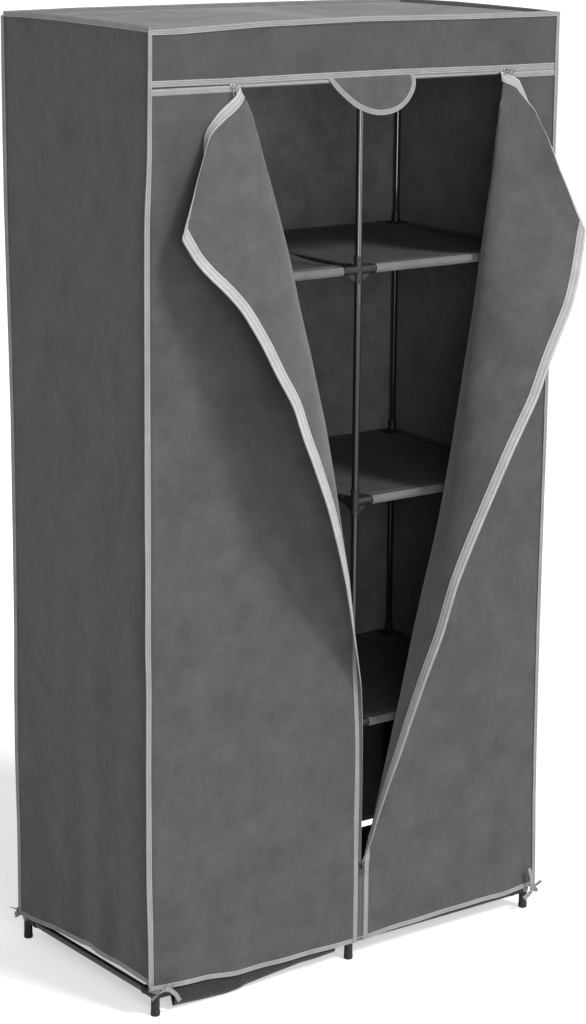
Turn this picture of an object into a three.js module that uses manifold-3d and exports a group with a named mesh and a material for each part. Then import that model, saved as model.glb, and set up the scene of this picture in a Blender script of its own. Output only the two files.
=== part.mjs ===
// Portable fabric wardrobe: a knock-down frame of steel tubes in plastic connectors, three columns wide
// and two deep, with cloth shelves on sleeves and a zipped cloth cover whose two doors hang folded back.
// Millimetres, +Z up, +X to the right along the front, front face towards -Y.
import * as THREE from 'three';
import { mergeVertices } from 'three/addons/utils/BufferGeometryUtils.js';
import Module from 'manifold-3d';

const wasm = await Module();
wasm.setup();

// Outside of the wardrobe
const width = 880;
const depth = 450;
const height = 1710;

// Clearances and overruns
const seatGap = 0.4; // cloth to the frame that it lies on
const seamGap = 0.4; // one sewn panel to the next
const slipFit = 0.3; // tube to the socket round it
const overrun = 5; // how far a cutting tool runs past the material

// Frame tubes and connectors
const tubeRadius = 6.5;
const socketRadius = 8.4;
const sleeveHalf = 24; // half height of a connector's upright sleeve
const armLength = 34; // from a column's axis to the mouth of an arm
const socketDepth = 22;
const bottomTubeHeight = 38;
const sectionCount = 4;
const roundSides = 8;
const railSleeveHalf = 20; // half length of the hanging rail's sleeve on its depth tube

// Cloth
const cloth = 2;
const shelfCloth = 1.6;
const shelfFit = 0.4; // shelf sleeve to its tube
const shelfSag = 9;
const shelfRise = 3; // over the hanging rail
const sideGap = 2; // shelf edge to the connector beside it
const topSag = 24;
const topRim = 34; // flat rim of the top panel, over the top tubes
const hemHeight = 54;
const hemRise = 8; // half of the hem's up and down
const hemFlare = 7;
const foldCount = 4;
const foldDepth = 5;

// Zips, valance and tab
const valanceDrop = 97; // from the top of the wardrobe down to the zips
const zipShift = 18; // middle zip to the right of the middle column
const zipBottomHeight = 183; // where the two doors are still zipped together
const tabWidth = 185;
const tabDrop = 63;
const tabGap = 0.5;
const tabHang = 0.5; // tab's top edge below the zip line
const sliderLength = 14;
const sliderWidth = 10;
const sliderTail = 6.5;
const sliderBody = 4;
const sliderStand = 0.8; // slider in front of the cloth
const bridgeHeight = 3;
const bridgeLength = 8;
const bridgeWidth = 3;
const ringLength = 9.5;
const ringWidth = 8;
const ringBar = 1.6;
const ringThickness = 1.5;

// Left door, folded back: its fold runs straight from the slider to the point where the door hangs flat
const leftSliderInset = 164; // from the cover's side to the slider, and to the top of the fold
const leftFoldInset = 179;
const leftFoldBottom = 2;
const leftFoldEnd = 645; // height of the fold's lower end
const leftEdgeLow = 8; // free edge below the fold
const leftReach = 125; // how far the free edge stands out in front
const leftBulge = 26;

// Right door, folded back
const rightSliderInset = 122;
const rightFoldInset = 137;
const rightFoldBow = 36; // the fold's bow to the right of a straight line
const rightReach = 166;
const rightBulge = 22;
const foldStart = 0.5; // folded cloth in front of the door that it lies on
const pointGap = 12; // folded cloth above the lower end of its fold

// Free edge of the left door from its top corner down: place across, out and up as shares of half the
// width, the reach and the door's height from the lower zip end to the zip above the doors
const leftEdgeShares = [
  [-0.916, 0.30, 0.827],
  [-0.814, 0.58, 0.786],
  [-0.705, 0.78, 0.739],
  [-0.620, 0.92, 0.687],
  [-0.534, 0.99, 0.636],
  [-0.459, 1.00, 0.582],
  [-0.375, 0.95, 0.529],
  [-0.293, 0.84, 0.476],
  [-0.205, 0.62, 0.418],
  [-0.112, 0.35, 0.368],
  [0.002, 0.04, 0.330],
];

// Free edge of the right door, likewise
const rightEdgeShares = [
  [0.966, 0.58, 0.805],
  [0.832, 0.77, 0.727],
  [0.682, 0.91, 0.655],
  [0.525, 0.98, 0.580],
  [0.380, 1.00, 0.505],
  [0.284, 0.94, 0.422],
  [0.191, 0.82, 0.339],
  [0.160, 0.63, 0.257],
  [0.116, 0.43, 0.171],
  [0.066, 0.25, 0.085],
  [0.045, 0.06, 0.010],
];

// Colours
const steelBlack = new THREE.MeshStandardMaterial({ color: 0x1b1b1d, roughness: 0.4, metalness: 0.6 });
const plasticBlack = new THREE.MeshStandardMaterial({ color: 0x161616, roughness: 0.6, metalness: 0 });
const coverGrey = new THREE.MeshStandardMaterial({ color: 0x5c5d60, roughness: 0.95, metalness: 0 });
const innerGrey = new THREE.MeshStandardMaterial({ color: 0x747578, roughness: 0.95, metalness: 0 });
const shelfGrey = new THREE.MeshStandardMaterial({ color: 0x8a8b8d, roughness: 0.95, metalness: 0 });
const zipMetal = new THREE.MeshStandardMaterial({ color: 0xb9bbbd, roughness: 0.3, metalness: 0.9 });

// Places that follow from the sizes above
const columnInset = cloth + seatGap + socketRadius;
const columnX = width / 2 - columnInset;
const columnY = depth / 2 - columnInset;
const topTubeHeight = height - columnInset;
const sectionHeight = (topTubeHeight - bottomTubeHeight) / sectionCount;
const levels = Array.from({ length: sectionCount + 1 }, (_, i) => bottomTubeHeight + i * sectionHeight);
const topIndex = sectionCount;
const railIndex = sectionCount - 1;
const frontFace = -depth / 2;
const zipHeight = height - valanceDrop;
const leftSlider = leftSliderInset - width / 2;
const leftFoldTop = leftFoldInset - width / 2;
const rightSlider = width / 2 - rightSliderInset;
const rightFoldTop = width / 2 - rightFoldInset;
const panelEdge = width / 2 - cloth - seamGap;
const panelTop = height - cloth - seamGap;
const doorTop = zipHeight - seamGap / 2;
const doorHeight = zipHeight - zipBottomHeight;
const columnPlaces = { left: -columnX, middle: 0, right: columnX };
const rowPlaces = { front: -columnY, rear: columnY };

const wardrobe = new THREE.Group();

function add(name, geometry, material, place = [0, 0, 0]) {
  const mesh = new THREE.Mesh(geometry, material);
  mesh.name = name;
  mesh.position.set(...place);
  wardrobe.add(mesh);
}

// Booleans
function toSolid(geometry) {
  const bare = geometry.clone();
  bare.deleteAttribute('normal');
  bare.deleteAttribute('uv');
  const merged = mergeVertices(bare);
  const mesh = new wasm.Mesh({
    numProp: 3,
    vertProperties: new Float32Array(merged.attributes.position.array),
    triVerts: new Uint32Array(merged.index.array),
  });
  return new wasm.Manifold(mesh);
}

function toGeometry(solid) {
  const mesh = solid.getMesh();
  const geometry = new THREE.BufferGeometry();
  geometry.setAttribute('position', new THREE.BufferAttribute(mesh.vertProperties, mesh.numProp));
  geometry.setIndex(new THREE.BufferAttribute(mesh.triVerts, 1));
  geometry.computeVertexNormals();
  return geometry;
}

// A rod between two points. Its flats lie at the radius, and rods along X, Y and Z match
function rod(radius, from, to) {
  const start = new THREE.Vector3(...from);
  const end = new THREE.Vector3(...to);
  const corner = radius / Math.cos(Math.PI / roundSides);
  const geometry = new THREE.CylinderGeometry(corner, corner, start.distanceTo(end), roundSides);
  geometry.rotateY(Math.PI / roundSides);
  const along = end.clone().sub(start).normalize();
  const turn = new THREE.Quaternion().setFromUnitVectors(new THREE.Vector3(0, 1, 0), along);
  geometry.applyQuaternion(turn);
  const middle = start.clone().add(end).multiplyScalar(1 / 2);
  geometry.translate(middle.x, middle.y, middle.z);
  return geometry;
}

// Columns: upright tubes pressed into their connectors, with a sleeve at each level and an arm towards
// each neighbour that a tube leads to
const xNeighbours = { left: [1], middle: [-1, 1], right: [-1] };

function armsAt(column, level) {
  const everywhere = level === 0 || level >= railIndex;
  if (everywhere) return xNeighbours[column];
  return column === 'left' ? [] : column === 'middle' ? [1] : [-1];
}

function hasDepthTube(column, level) {
  return level === 0 || level >= railIndex || column !== 'left';
}

function columnGeometry(column, row) {
  const inward = row === 'front' ? 1 : -1;
  let solid = toSolid(rod(tubeRadius, [0, 0, bottomTubeHeight], [0, 0, topTubeHeight]));
  const bores = [];
  levels.forEach((z, level) => {
    const low = level === 0 ? 0 : z - sleeveHalf;
    const high = level === topIndex ? z + socketRadius : z + sleeveHalf;
    solid = solid.add(toSolid(rod(socketRadius, [0, 0, low], [0, 0, high])));
    const arms = armsAt(column, level).map((side) => [side, 0]);
    if (hasDepthTube(column, level)) arms.push([0, inward]);
    for (const [x, y] of arms) {
      const mouth = [x * armLength, y * armLength, z];
      const floor = armLength - socketDepth;
      const past = armLength + overrun;
      solid = solid.add(toSolid(rod(socketRadius, [0, 0, z], mouth)));
      bores.push(rod(tubeRadius + slipFit, [x * floor, y * floor, z], [x * past, y * past, z]));
    }
  });
  for (const bore of bores) solid = solid.subtract(toSolid(bore));
  return toGeometry(solid);
}

for (const [column, x] of Object.entries(columnPlaces)) {
  for (const [row, y] of Object.entries(rowPlaces)) {
    add(`column_${row}_${column}`, columnGeometry(column, row), plasticBlack, [x, y, 0]);
  }
}

// Cross tubes: front and rear tubes along each level, and depth tubes from front to rear
const levelNames = ['bottom', 'lower', 'middle', 'upper', 'top'];
const tubeEnd = armLength - socketDepth + slipFit;
const spans = { left: ['left', 'middle'], right: ['middle', 'right'] };

levels.forEach((z, level) => {
  const shelved = level === 0 || level >= railIndex;
  for (const [side, [from, to]] of Object.entries(spans)) {
    if (side === 'left' && !shelved) continue;
    for (const [row, y] of Object.entries(rowPlaces)) {
      const ends = [[columnPlaces[from] + tubeEnd, y, z], [columnPlaces[to] - tubeEnd, y, z]];
      add(`tube_${row}_${side}_${levelNames[level]}`, rod(tubeRadius, ...ends), steelBlack);
    }
  }
  for (const [column, x] of Object.entries(columnPlaces)) {
    if (!hasDepthTube(column, level)) continue;
    const reach = columnY - tubeEnd;
    const ends = [[x, -reach, z], [x, reach, z]];
    add(`depth_tube_${column}_${levelNames[level]}`, rod(tubeRadius, ...ends), steelBlack);
  }
});

// Hanging rail between two tee connectors, each threaded on a depth tube of the left half
function railTee(side) {
  const sleeve = toSolid(rod(socketRadius, [0, -railSleeveHalf, 0], [0, railSleeveHalf, 0]));
  const arm = toSolid(rod(socketRadius, [0, 0, 0], [side * armLength, 0, 0]));
  const through = railSleeveHalf + overrun;
  const bore = toSolid(rod(tubeRadius + slipFit, [0, -through, 0], [0, through, 0]));
  const floor = side * (armLength - socketDepth);
  const mouth = side * (armLength + overrun);
  const socket = toSolid(rod(tubeRadius + slipFit, [floor, 0, 0], [mouth, 0, 0]));
  return toGeometry(sleeve.add(arm).subtract(bore).subtract(socket));
}

const railHeight = levels[railIndex];
add('rail_tee_left', railTee(1), plasticBlack, [-columnX, 0, railHeight]);
add('rail_tee_right', railTee(-1), plasticBlack, [0, 0, railHeight]);
const railEnds = [[-columnX + tubeEnd, 0, railHeight], [-tubeEnd, 0, railHeight]];
add('hanging_rail', rod(tubeRadius, ...railEnds), steelBlack);

// Shelf cloths: one sheet with a sleeve along its front and rear edge, each sleeve round its tube
const sleeveInner = tubeRadius + shelfFit;
const sleeveOuter = sleeveInner + shelfCloth;
const sheetSteps = 6;

function sheetHeight(y, sag) {
  const share = y / columnY;
  return sleeveOuter - sag * (1 - share * share);
}

function alongX(shape, from, to, segments) {
  const options = { depth: to - from, bevelEnabled: false, curveSegments: segments };
  const geometry = new THREE.ExtrudeGeometry(shape, options);
  const axes = [new THREE.Vector3(0, 1, 0), new THREE.Vector3(0, 0, 1), new THREE.Vector3(1, 0, 0)];
  geometry.applyMatrix4(new THREE.Matrix4().makeBasis(...axes));
  geometry.translate(from, 0, 0);
  return geometry;
}

function sheetShape(reach, sag) {
  const shape = new THREE.Shape();
  const places = Array.from({ length: sheetSteps + 1 }, (_, i) => reach * (2 * i / sheetSteps - 1));
  places.forEach((y, i) => {
    const z = sheetHeight(y, sag) - shelfCloth;
    if (i === 0) shape.moveTo(y, z);
    else shape.lineTo(y, z);
  });
  for (const y of places.reverse()) shape.lineTo(y, sheetHeight(y, sag));
  shape.closePath();
  return shape;
}

// The sheet reaches over its tubes, less a notch round the connector at each corner
function shelfGeometry(from, to, sag) {
  const sleeveFrom = from + armLength + sideGap;
  const sleeveTo = to - armLength - sideGap;
  const notchY = columnY - armLength - sideGap;
  const beside = socketRadius + sideGap;
  let solid = toSolid(alongX(sheetShape(columnY, sag), from + beside, to - beside, 1));
  const notch = new THREE.BoxGeometry(2 * (sleeveFrom - from), 2 * (columnY - notchY), armLength);
  for (const y of [-columnY, columnY]) {
    for (const x of [from, to]) {
      solid = solid.subtract(toSolid(notch.clone().translate(x, y, 0)));
    }
    const tunnel = rod(sleeveInner, [sleeveFrom - overrun, y, 0], [sleeveTo + overrun, y, 0]);
    solid = solid.add(toSolid(rod(sleeveOuter, [sleeveFrom, y, 0], [sleeveTo, y, 0])));
    solid = solid.subtract(toSolid(tunnel));
  }
  return toGeometry(solid);
}

const shelfIndexes = { left: [0, railIndex], right: [...levels.keys()].slice(0, topIndex) };
for (const [side, list] of Object.entries(shelfIndexes)) {
  const [from, to] = spans[side].map((column) => columnPlaces[column]);
  for (const level of list) {
    const sag = side === 'left' && level === railIndex ? -shelfRise : shelfSag;
    const geometry = shelfGeometry(from, to, sag);
    add(`shelf_cloth_${side}_${levelNames[level]}`, geometry, shelfGrey, [0, 0, levels[level]]);
  }
}

// A sheet of cloth as a closed solid: a grid of middle points, thickened along its normals
function sheetGeometry(columns, rows, pointAt) {
  const grid = [];
  for (let j = 0; j <= rows; j += 1) {
    for (let i = 0; i <= columns; i += 1) grid.push(new THREE.Vector3(...pointAt(i / columns, j / rows)));
  }
  const at = (i, j) => j * (columns + 1) + i;
  const normals = grid.map((_, n) => {
    const i = n % (columns + 1);
    const j = Math.floor(n / (columns + 1));
    const across = grid[at(Math.min(i + 1, columns), j)].clone().sub(grid[at(Math.max(i - 1, 0), j)]);
    const down = grid[at(i, Math.min(j + 1, rows))].clone().sub(grid[at(i, Math.max(j - 1, 0))]);
    return across.cross(down).normalize();
  });
  const near = grid.map((p, n) => p.clone().addScaledVector(normals[n], cloth / 2));
  const far = grid.map((p, n) => p.clone().addScaledVector(normals[n], -cloth / 2));
  const positions = [...near, ...far].flatMap((p) => p.toArray());
  const back = grid.length;
  const faces = [];
  const quad = (a, b, c, d) => faces.push(a, b, c, a, c, d);
  for (let j = 0; j < rows; j += 1) {
    for (let i = 0; i < columns; i += 1) {
      quad(at(i, j), at(i + 1, j), at(i + 1, j + 1), at(i, j + 1));
      quad(back + at(i, j), back + at(i, j + 1), back + at(i + 1, j + 1), back + at(i + 1, j));
    }
  }
  const rim = [];
  for (let i = 0; i < columns; i += 1) rim.push(at(i, 0));
  for (let j = 0; j < rows; j += 1) rim.push(at(columns, j));
  for (let i = columns; i > 0; i -= 1) rim.push(at(i, rows));
  for (let j = rows; j > 0; j -= 1) rim.push(at(0, j));
  rim.forEach((a, n) => {
    const b = rim[(n + 1) % rim.length];
    quad(b, a, back + a, back + b);
  });
  const geometry = new THREE.BufferGeometry();
  geometry.setAttribute('position', new THREE.Float32BufferAttribute(positions, 3));
  geometry.setIndex(faces);
  geometry.computeVertexNormals();
  return geometry;
}

const mix = THREE.MathUtils.lerp;

// Folds of a hanging panel: none at its upright seams and its top, deepest at the hem. Between them the
// cloth lies against the frame
function foldAt(across, up, phase) {
  const loose = Math.sin(Math.PI * across) * (1 - up) ** 2;
  const wave = Math.sin(foldCount * Math.PI * across) ** 2;
  const uneven = (2 + Math.sin(foldCount * across + phase)) / 3;
  return loose * wave * uneven * (hemFlare * (1 - up) + foldDepth);
}

function hemAt(across, phase) {
  return hemHeight + hemRise * Math.sin(Math.PI * across) * Math.sin(foldCount * across + phase);
}

// Side and back panels
const sideColumns = 2 * foldCount;
const sideRows = 9;
for (const [side, sign] of [['left', -1], ['right', 1]]) {
  const geometry = sheetGeometry(sideColumns, sideRows, (u, v) => {
    const across = sign > 0 ? u : 1 - u;
    const y = mix(-depth / 2, depth / 2, across);
    const x = sign * (width / 2 - cloth / 2 + foldAt(across, v, 1));
    return [x, y, mix(hemAt(across, 1), panelTop, v)];
  });
  add(`cover_${side}_side`, geometry, coverGrey);
}

const backColumns = 4 * foldCount;
add('cover_back', sheetGeometry(backColumns, sideRows, (u, v) => {
  const y = depth / 2 - cloth / 2 + foldAt(u, v, 0);
  return [mix(panelEdge, -panelEdge, u), y, mix(hemAt(u, 0), panelTop, v)];
}), coverGrey);

// Top panel: flat over the top tubes, sagging in each half between them
const topColumns = 16;
const topRows = 8;

function dip(place, low, high) {
  const share = (place - low) / (high - low);
  return share <= 0 || share >= 1 ? 0 : Math.sin(Math.PI * share);
}

add('cover_top', sheetGeometry(topColumns, topRows, (u, v) => {
  const x = mix(-width / 2, width / 2, u);
  const y = mix(-depth / 2, depth / 2, v);
  const rim = width / 2 - topRim;
  const across = dip(Math.abs(x), topRim / 2, rim);
  const along = dip(y, topRim - depth / 2, depth / 2 - topRim);
  return [x, y, height - cloth / 2 - topSag * across * along];
}), coverGrey);

// Valance over the doors, and the half-round tab that covers the middle of the zips
const valanceColumns = 10;
const valanceRows = 2;
add('valance', sheetGeometry(valanceColumns, valanceRows, (u, v) => {
  const x = mix(-panelEdge, panelEdge, u);
  return [x, frontFace + cloth / 2, mix(zipHeight + seamGap / 2, panelTop, v)];
}), coverGrey);

const tabSegments = 12;
const tabShape = new THREE.Shape();
tabShape.absellipse(0, 0, tabWidth / 2, tabDrop, Math.PI, 2 * Math.PI, false);
tabShape.closePath();
const tabOptions = { depth: cloth, bevelEnabled: false, curveSegments: tabSegments };
const tabGeometry = new THREE.ExtrudeGeometry(tabShape, tabOptions);
tabGeometry.rotateX(Math.PI / 2);
const tabBack = frontFace - tabGap;
add('tab', tabGeometry, coverGrey, [zipShift, tabBack, zipHeight - tabHang]);

// Doors: the part of each that hangs flat, up to its fold and to the middle zip
function leftBound(z) {
  if (z <= zipBottomHeight) return zipShift - seamGap / 2;
  if (z <= leftFoldEnd) {
    const share = (z - zipBottomHeight) / (leftFoldEnd - zipBottomHeight);
    return mix(zipShift - seamGap / 2, leftEdgeLow, Math.min(1, share * foldCount));
  }
  return leftFoldAt(z)[0];
}

function leftFoldAt(z) {
  const share = (z - leftFoldEnd) / (zipHeight - leftFoldEnd);
  return [mix(leftFoldBottom, leftFoldTop, share), z];
}

function rightFoldAt(z) {
  const share = (z - zipBottomHeight) / doorHeight;
  const bow = rightFoldBow * Math.sin(Math.PI * share);
  return [mix(zipShift, rightFoldTop, share) + bow, z];
}

function rightBound(z) {
  return z <= zipBottomHeight ? zipShift + seamGap / 2 : rightFoldAt(z)[0];
}

const doorColumns = 2 * foldCount;
const doorRows = 16;
const closedRows = 2; // rows of a door below the lower zip end

function doorRowHeight(v, across, phase) {
  const row = v * doorRows;
  if (row <= closedRows) return mix(hemAt(across, phase), zipBottomHeight, row / closedRows);
  return mix(zipBottomHeight, doorTop, (row - closedRows) / (doorRows - closedRows));
}

function doorGeometry(outer, boundAt, phase) {
  const sign = Math.sign(outer);
  return sheetGeometry(doorColumns, doorRows, (u, v) => {
    const across = sign < 0 ? u : 1 - u;
    const z = doorRowHeight(v, across, phase);
    const x = mix(outer, boundAt(z), across);
    const up = (z - hemHeight) / (doorTop - hemHeight);
    const y = frontFace + cloth / 2 - foldAt(across, Math.max(up, 0), phase);
    return [x, y, z];
  });
}

add('door_left', doorGeometry(-panelEdge, leftBound, 1), coverGrey);
add('door_right', doorGeometry(panelEdge, rightBound, 2), coverGrey);

// Folded-back part of each door: rows of cloth from the fold, out in front, to the free edge
function edgeCurve(shares, reach) {
  return new THREE.CatmullRomCurve3(shares.map(([across, out, up]) => new THREE.Vector3(
    across * width / 2,
    frontFace - out * reach,
    zipBottomHeight + up * doorHeight,
  )));
}

const flapColumns = 7;
const flapRows = 20;

function flapGeometry(foldPoint, curve, bulge) {
  return sheetGeometry(flapColumns, flapRows, (u, v) => {
    const fold = foldPoint(v);
    const edge = curve.getPointAt(v);
    const out = new THREE.Vector3(edge.y - fold.y, fold.x - edge.x, 0).normalize();
    const middle = fold.clone().lerp(edge, 1 / 2);
    middle.addScaledVector(out, -bulge * Math.sin(Math.PI * v));
    const bend = new THREE.QuadraticBezierCurve3(fold, middle, edge);
    return bend.getPoint(u).toArray();
  });
}

const flapFace = frontFace - foldStart - cloth / 2;
const leftFold = (v) => {
  const [x, z] = leftFoldAt(mix(doorTop - foldStart, leftFoldEnd + pointGap, v));
  return new THREE.Vector3(x, flapFace, z);
};
const rightFold = (v) => {
  const [x, z] = rightFoldAt(mix(doorTop - foldStart, zipBottomHeight + 2 * pointGap, v));
  return new THREE.Vector3(x, flapFace, z);
};
const leftCurve = edgeCurve(leftEdgeShares, leftReach);
const rightCurve = edgeCurve(rightEdgeShares, rightReach);
add('flap_left', flapGeometry(leftFold, leftCurve, leftBulge), innerGrey);
add('flap_right', flapGeometry(rightFold, rightCurve, rightBulge), innerGrey);

// Zip sliders with their bridges, and the double-ring pull that turns in each bridge. Drawn for a zip
// that runs upright, at the origin, and turned for the zips along the valance.
function outlineOf(points) {
  return new THREE.Shape(points.map(([x, y]) => new THREE.Vector2(x, y)));
}

function sliderGeometry(bodyTurn, bridgeTurn) {
  const wide = sliderWidth / 2;
  const long = sliderLength / 2;
  const tail = sliderTail / 2;
  const plate = outlineOf([
    [-tail, -long], [tail, -long], [wide, 0], [wide, long], [-wide, long], [-wide, 0],
  ]);
  const body = new THREE.ExtrudeGeometry(plate, { depth: sliderBody, bevelEnabled: false });
  body.rotateX(Math.PI / 2).rotateY(bodyTurn).translate(0, -sliderStand, 0);
  const half = bridgeLength / 2;
  const crown = bridgeHeight + 2 * ringBar;
  const loop = outlineOf([[-half, 0], [half, 0], [half, crown], [-half, crown]]);
  const eye = half - ringBar;
  const eyeTop = crown - ringBar;
  loop.holes.push(outlineOf([[-eye, ringBar], [-eye, eyeTop], [eye, eyeTop], [eye, ringBar]]));
  const bridge = new THREE.ExtrudeGeometry(loop, { depth: bridgeWidth, bevelEnabled: false });
  const axes = [new THREE.Vector3(0, 0, 1), new THREE.Vector3(0, -1, 0), new THREE.Vector3(1, 0, 0)];
  bridge.applyMatrix4(new THREE.Matrix4().makeBasis(...axes));
  bridge.translate(-bridgeWidth / 2, 0, 0).rotateY(bridgeTurn);
  bridge.translate(0, -sliderStand - sliderBody + ringBar, 0);
  return toGeometry(toSolid(body).add(toSolid(bridge)));
}

const pinOut = sliderStand + sliderBody + bridgeHeight / 2; // pull's turning line in front of the cloth
const ringSegments = 5;

function pullGeometry(turn) {
  const shape = new THREE.Shape();
  const round = ringWidth / 2;
  const low = ringBar / 2 - 2 * ringLength + ringBar;
  shape.moveTo(-round, ringBar / 2 - round);
  shape.absarc(0, ringBar / 2 - round, round, Math.PI, 0, true);
  shape.absarc(0, low + round, round, 0, -Math.PI, true);
  shape.closePath();
  const inner = round - ringBar;
  for (const top of [ringBar / 2, ringBar / 2 - ringLength + ringBar]) {
    const hole = new THREE.Path();
    hole.absarc(0, top - round, inner, 0, Math.PI, false);
    hole.absarc(0, top - ringLength + round, inner, Math.PI, 2 * Math.PI, false);
    hole.closePath();
    shape.holes.push(hole);
  }
  const options = { depth: ringThickness, bevelEnabled: false, curveSegments: ringSegments };
  const geometry = new THREE.ExtrudeGeometry(shape, options);
  geometry.rotateX(Math.PI / 2).translate(0, ringThickness / 2, 0);
  return geometry.rotateY(turn);
}

// side, slider's place, and the turns of its body and of its pull
const quarter = Math.PI / 2;
const zips = [
  ['left', [leftSlider, frontFace, zipHeight], -quarter, 0],
  ['right', [rightSlider, frontFace, zipHeight], quarter, -quarter],
  ['middle', [zipShift, frontFace, zipBottomHeight], 0, 0],
];
for (const [side, [x, y, z], bodyTurn, pullTurn] of zips) {
  add(`zip_slider_${side}`, sliderGeometry(bodyTurn, pullTurn), zipMetal, [x, y, z]);
  add(`zip_pull_${side}`, pullGeometry(pullTurn), zipMetal, [x, y - pinOut, z]);
}

// The origin is on the floor, under the middle of the whole outline with its doors folded back
const outline = new THREE.Box3().setFromObject(wardrobe);
const centre = outline.getCenter(new THREE.Vector3());
wardrobe.position.set(-centre.x, -centre.y, 0);

export default wardrobe;
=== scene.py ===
import math

import bmesh
import bpy
import numpy as np
from mathutils import Matrix, Vector, noise


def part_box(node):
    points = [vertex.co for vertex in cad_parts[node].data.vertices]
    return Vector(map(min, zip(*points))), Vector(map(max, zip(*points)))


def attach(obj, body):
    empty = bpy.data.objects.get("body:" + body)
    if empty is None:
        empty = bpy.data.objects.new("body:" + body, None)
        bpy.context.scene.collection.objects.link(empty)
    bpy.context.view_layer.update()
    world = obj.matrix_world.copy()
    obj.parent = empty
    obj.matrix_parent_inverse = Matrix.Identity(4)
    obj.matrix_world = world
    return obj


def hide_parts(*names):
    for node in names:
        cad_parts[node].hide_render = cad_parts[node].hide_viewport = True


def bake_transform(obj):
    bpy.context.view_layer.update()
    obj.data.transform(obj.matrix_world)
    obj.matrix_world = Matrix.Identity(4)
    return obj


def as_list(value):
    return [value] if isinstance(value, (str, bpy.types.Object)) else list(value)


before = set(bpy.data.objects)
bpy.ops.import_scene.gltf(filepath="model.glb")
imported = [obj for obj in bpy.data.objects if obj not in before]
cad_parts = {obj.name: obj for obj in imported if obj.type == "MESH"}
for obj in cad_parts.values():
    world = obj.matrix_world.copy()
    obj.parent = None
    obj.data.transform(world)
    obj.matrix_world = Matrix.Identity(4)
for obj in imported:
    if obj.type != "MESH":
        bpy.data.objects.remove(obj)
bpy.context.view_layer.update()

scene = bpy.context.scene

# Camera: stands to the left of the wardrobe and a little above it, with a long lens, so that the left
# side, the front and a sliver of the top show.
camera_data = bpy.data.cameras.new("camera")
camera_data.lens = 93.79
camera = bpy.data.objects.new("camera", camera_data)
scene.collection.objects.link(camera)
camera_place = Vector((-2.84439, -3.75244, 1.98101))
yaw, pitch, roll = (math.radians(angle) for angle in (36.828, 13.820, 0.500))
gaze = Vector((math.sin(yaw) * math.cos(pitch), math.cos(yaw) * math.cos(pitch), -math.sin(pitch)))
level_right = Vector((math.cos(yaw), -math.sin(yaw), 0))
upright = level_right.cross(gaze)
camera_right = level_right * math.cos(roll) + upright * math.sin(roll)
camera_up = -level_right * math.sin(roll) + upright * math.cos(roll)
camera.matrix_world = Matrix((
    (camera_right.x, camera_up.x, -gaze.x, camera_place.x),
    (camera_right.y, camera_up.y, -gaze.y, camera_place.y),
    (camera_right.z, camera_up.z, -gaze.z, camera_place.z),
    (0, 0, 0, 1),
))
scene.camera = camera


# Cross tubes, depth tubes and hanging rail: round steel tube, 13 mm across, with a glossy black paint
# that is a little uneven. Each is plugged into the connectors at its ends.
MM = 0.001
tube_radius = 6.5 * MM
ROUND = 24


def piece(name, points, faces, material, sharp=40):
    """A mesh object with its faces turned outwards and its edges sharper than that angle kept."""
    mesh = bpy.data.meshes.new(name)
    mesh.from_pydata([tuple(p) for p in points], [], [tuple(f) for f in faces])
    made = bmesh.new()
    made.from_mesh(mesh)
    bmesh.ops.recalc_face_normals(made, faces=made.faces)
    made.to_mesh(mesh)
    made.free()
    mesh.materials.append(material)
    mesh.shade_smooth()
    mesh.set_sharp_from_angle(angle=math.radians(sharp))
    made_object = bpy.data.objects.new(name, mesh)
    scene.collection.objects.link(made_object)
    return made_object


def node(tree, kind, inputs=(), **settings):
    """A shader node; each input is a socket to link from, or a value."""
    made = tree.nodes.new("ShaderNode" + kind)
    for key, value in settings.items():
        setattr(made, key, value)
    for place, value in dict(inputs).items():
        if isinstance(value, bpy.types.NodeSocket):
            tree.links.new(value, made.inputs[place])
        else:
            made.inputs[place].default_value = value
    return made


def effect(name, inputs, outputs):
    """An empty node group with named sockets, and its two end nodes."""
    tree = bpy.data.node_groups.new(name, "ShaderNodeTree")
    for label, kind, value in inputs:
        socket = tree.interface.new_socket(label, in_out="INPUT", socket_type="NodeSocket" + kind)
        socket.default_value = value
    for label, kind in outputs:
        tree.interface.new_socket(label, in_out="OUTPUT", socket_type="NodeSocket" + kind)
    return tree, tree.nodes.new("NodeGroupInput"), tree.nodes.new("NodeGroupOutput")


def finish_of(name, group, values, constants):
    """A material whose colour, roughness and normal come from an effect, and the rest from constants."""
    material = bpy.data.materials.new(name)
    material.use_nodes = True
    tree = material.node_tree
    shader = tree.nodes["Principled BSDF"]
    placed = node(tree, "Group", node_tree=group)
    for label, value in values.items():
        placed.inputs[label].default_value = value
    for socket in group.interface.items_tree:
        if socket.in_out == "OUTPUT":
            tree.links.new(placed.outputs[socket.name], shader.inputs[socket.name])
    for label, value in constants.items():
        shader.inputs[label].default_value = value
    return material


# Smooth hard surfaces: blotches of tone, fine grain, and scuffs that catch the light
smooth, given, result = effect(
    "worn_smooth_surface",
    [("Tone", "Color", (0.5, 0.5, 0.5, 1)), ("Scuffed tone", "Color", (0.6, 0.6, 0.6, 1)),
     ("Gloss", "Float", 0.3), ("Grain", "Float", 900.0), ("Grain depth", "Float", 0.1)],
    [("Base Color", "Color"), ("Roughness", "Float"), ("Normal", "Vector")])
place = node(smooth, "TexCoord").outputs["Object"]
patches = node(smooth, "TexNoise", {"Vector": place, "Scale": 35.0, "Detail": 5.0})
scuffs = node(smooth, "TexNoise", {"Vector": place, "Scale": 260.0, "Detail": 8.0, "Distortion": 1.5})
worn = node(smooth, "MapRange", {"Value": scuffs.outputs[0], "From Min": 0.62, "From Max": 0.78})
tone = node(smooth, "Mix", {0: worn.outputs[0], 6: given.outputs["Tone"], 7: given.outputs["Scuffed tone"]},
            data_type="RGBA")
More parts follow.
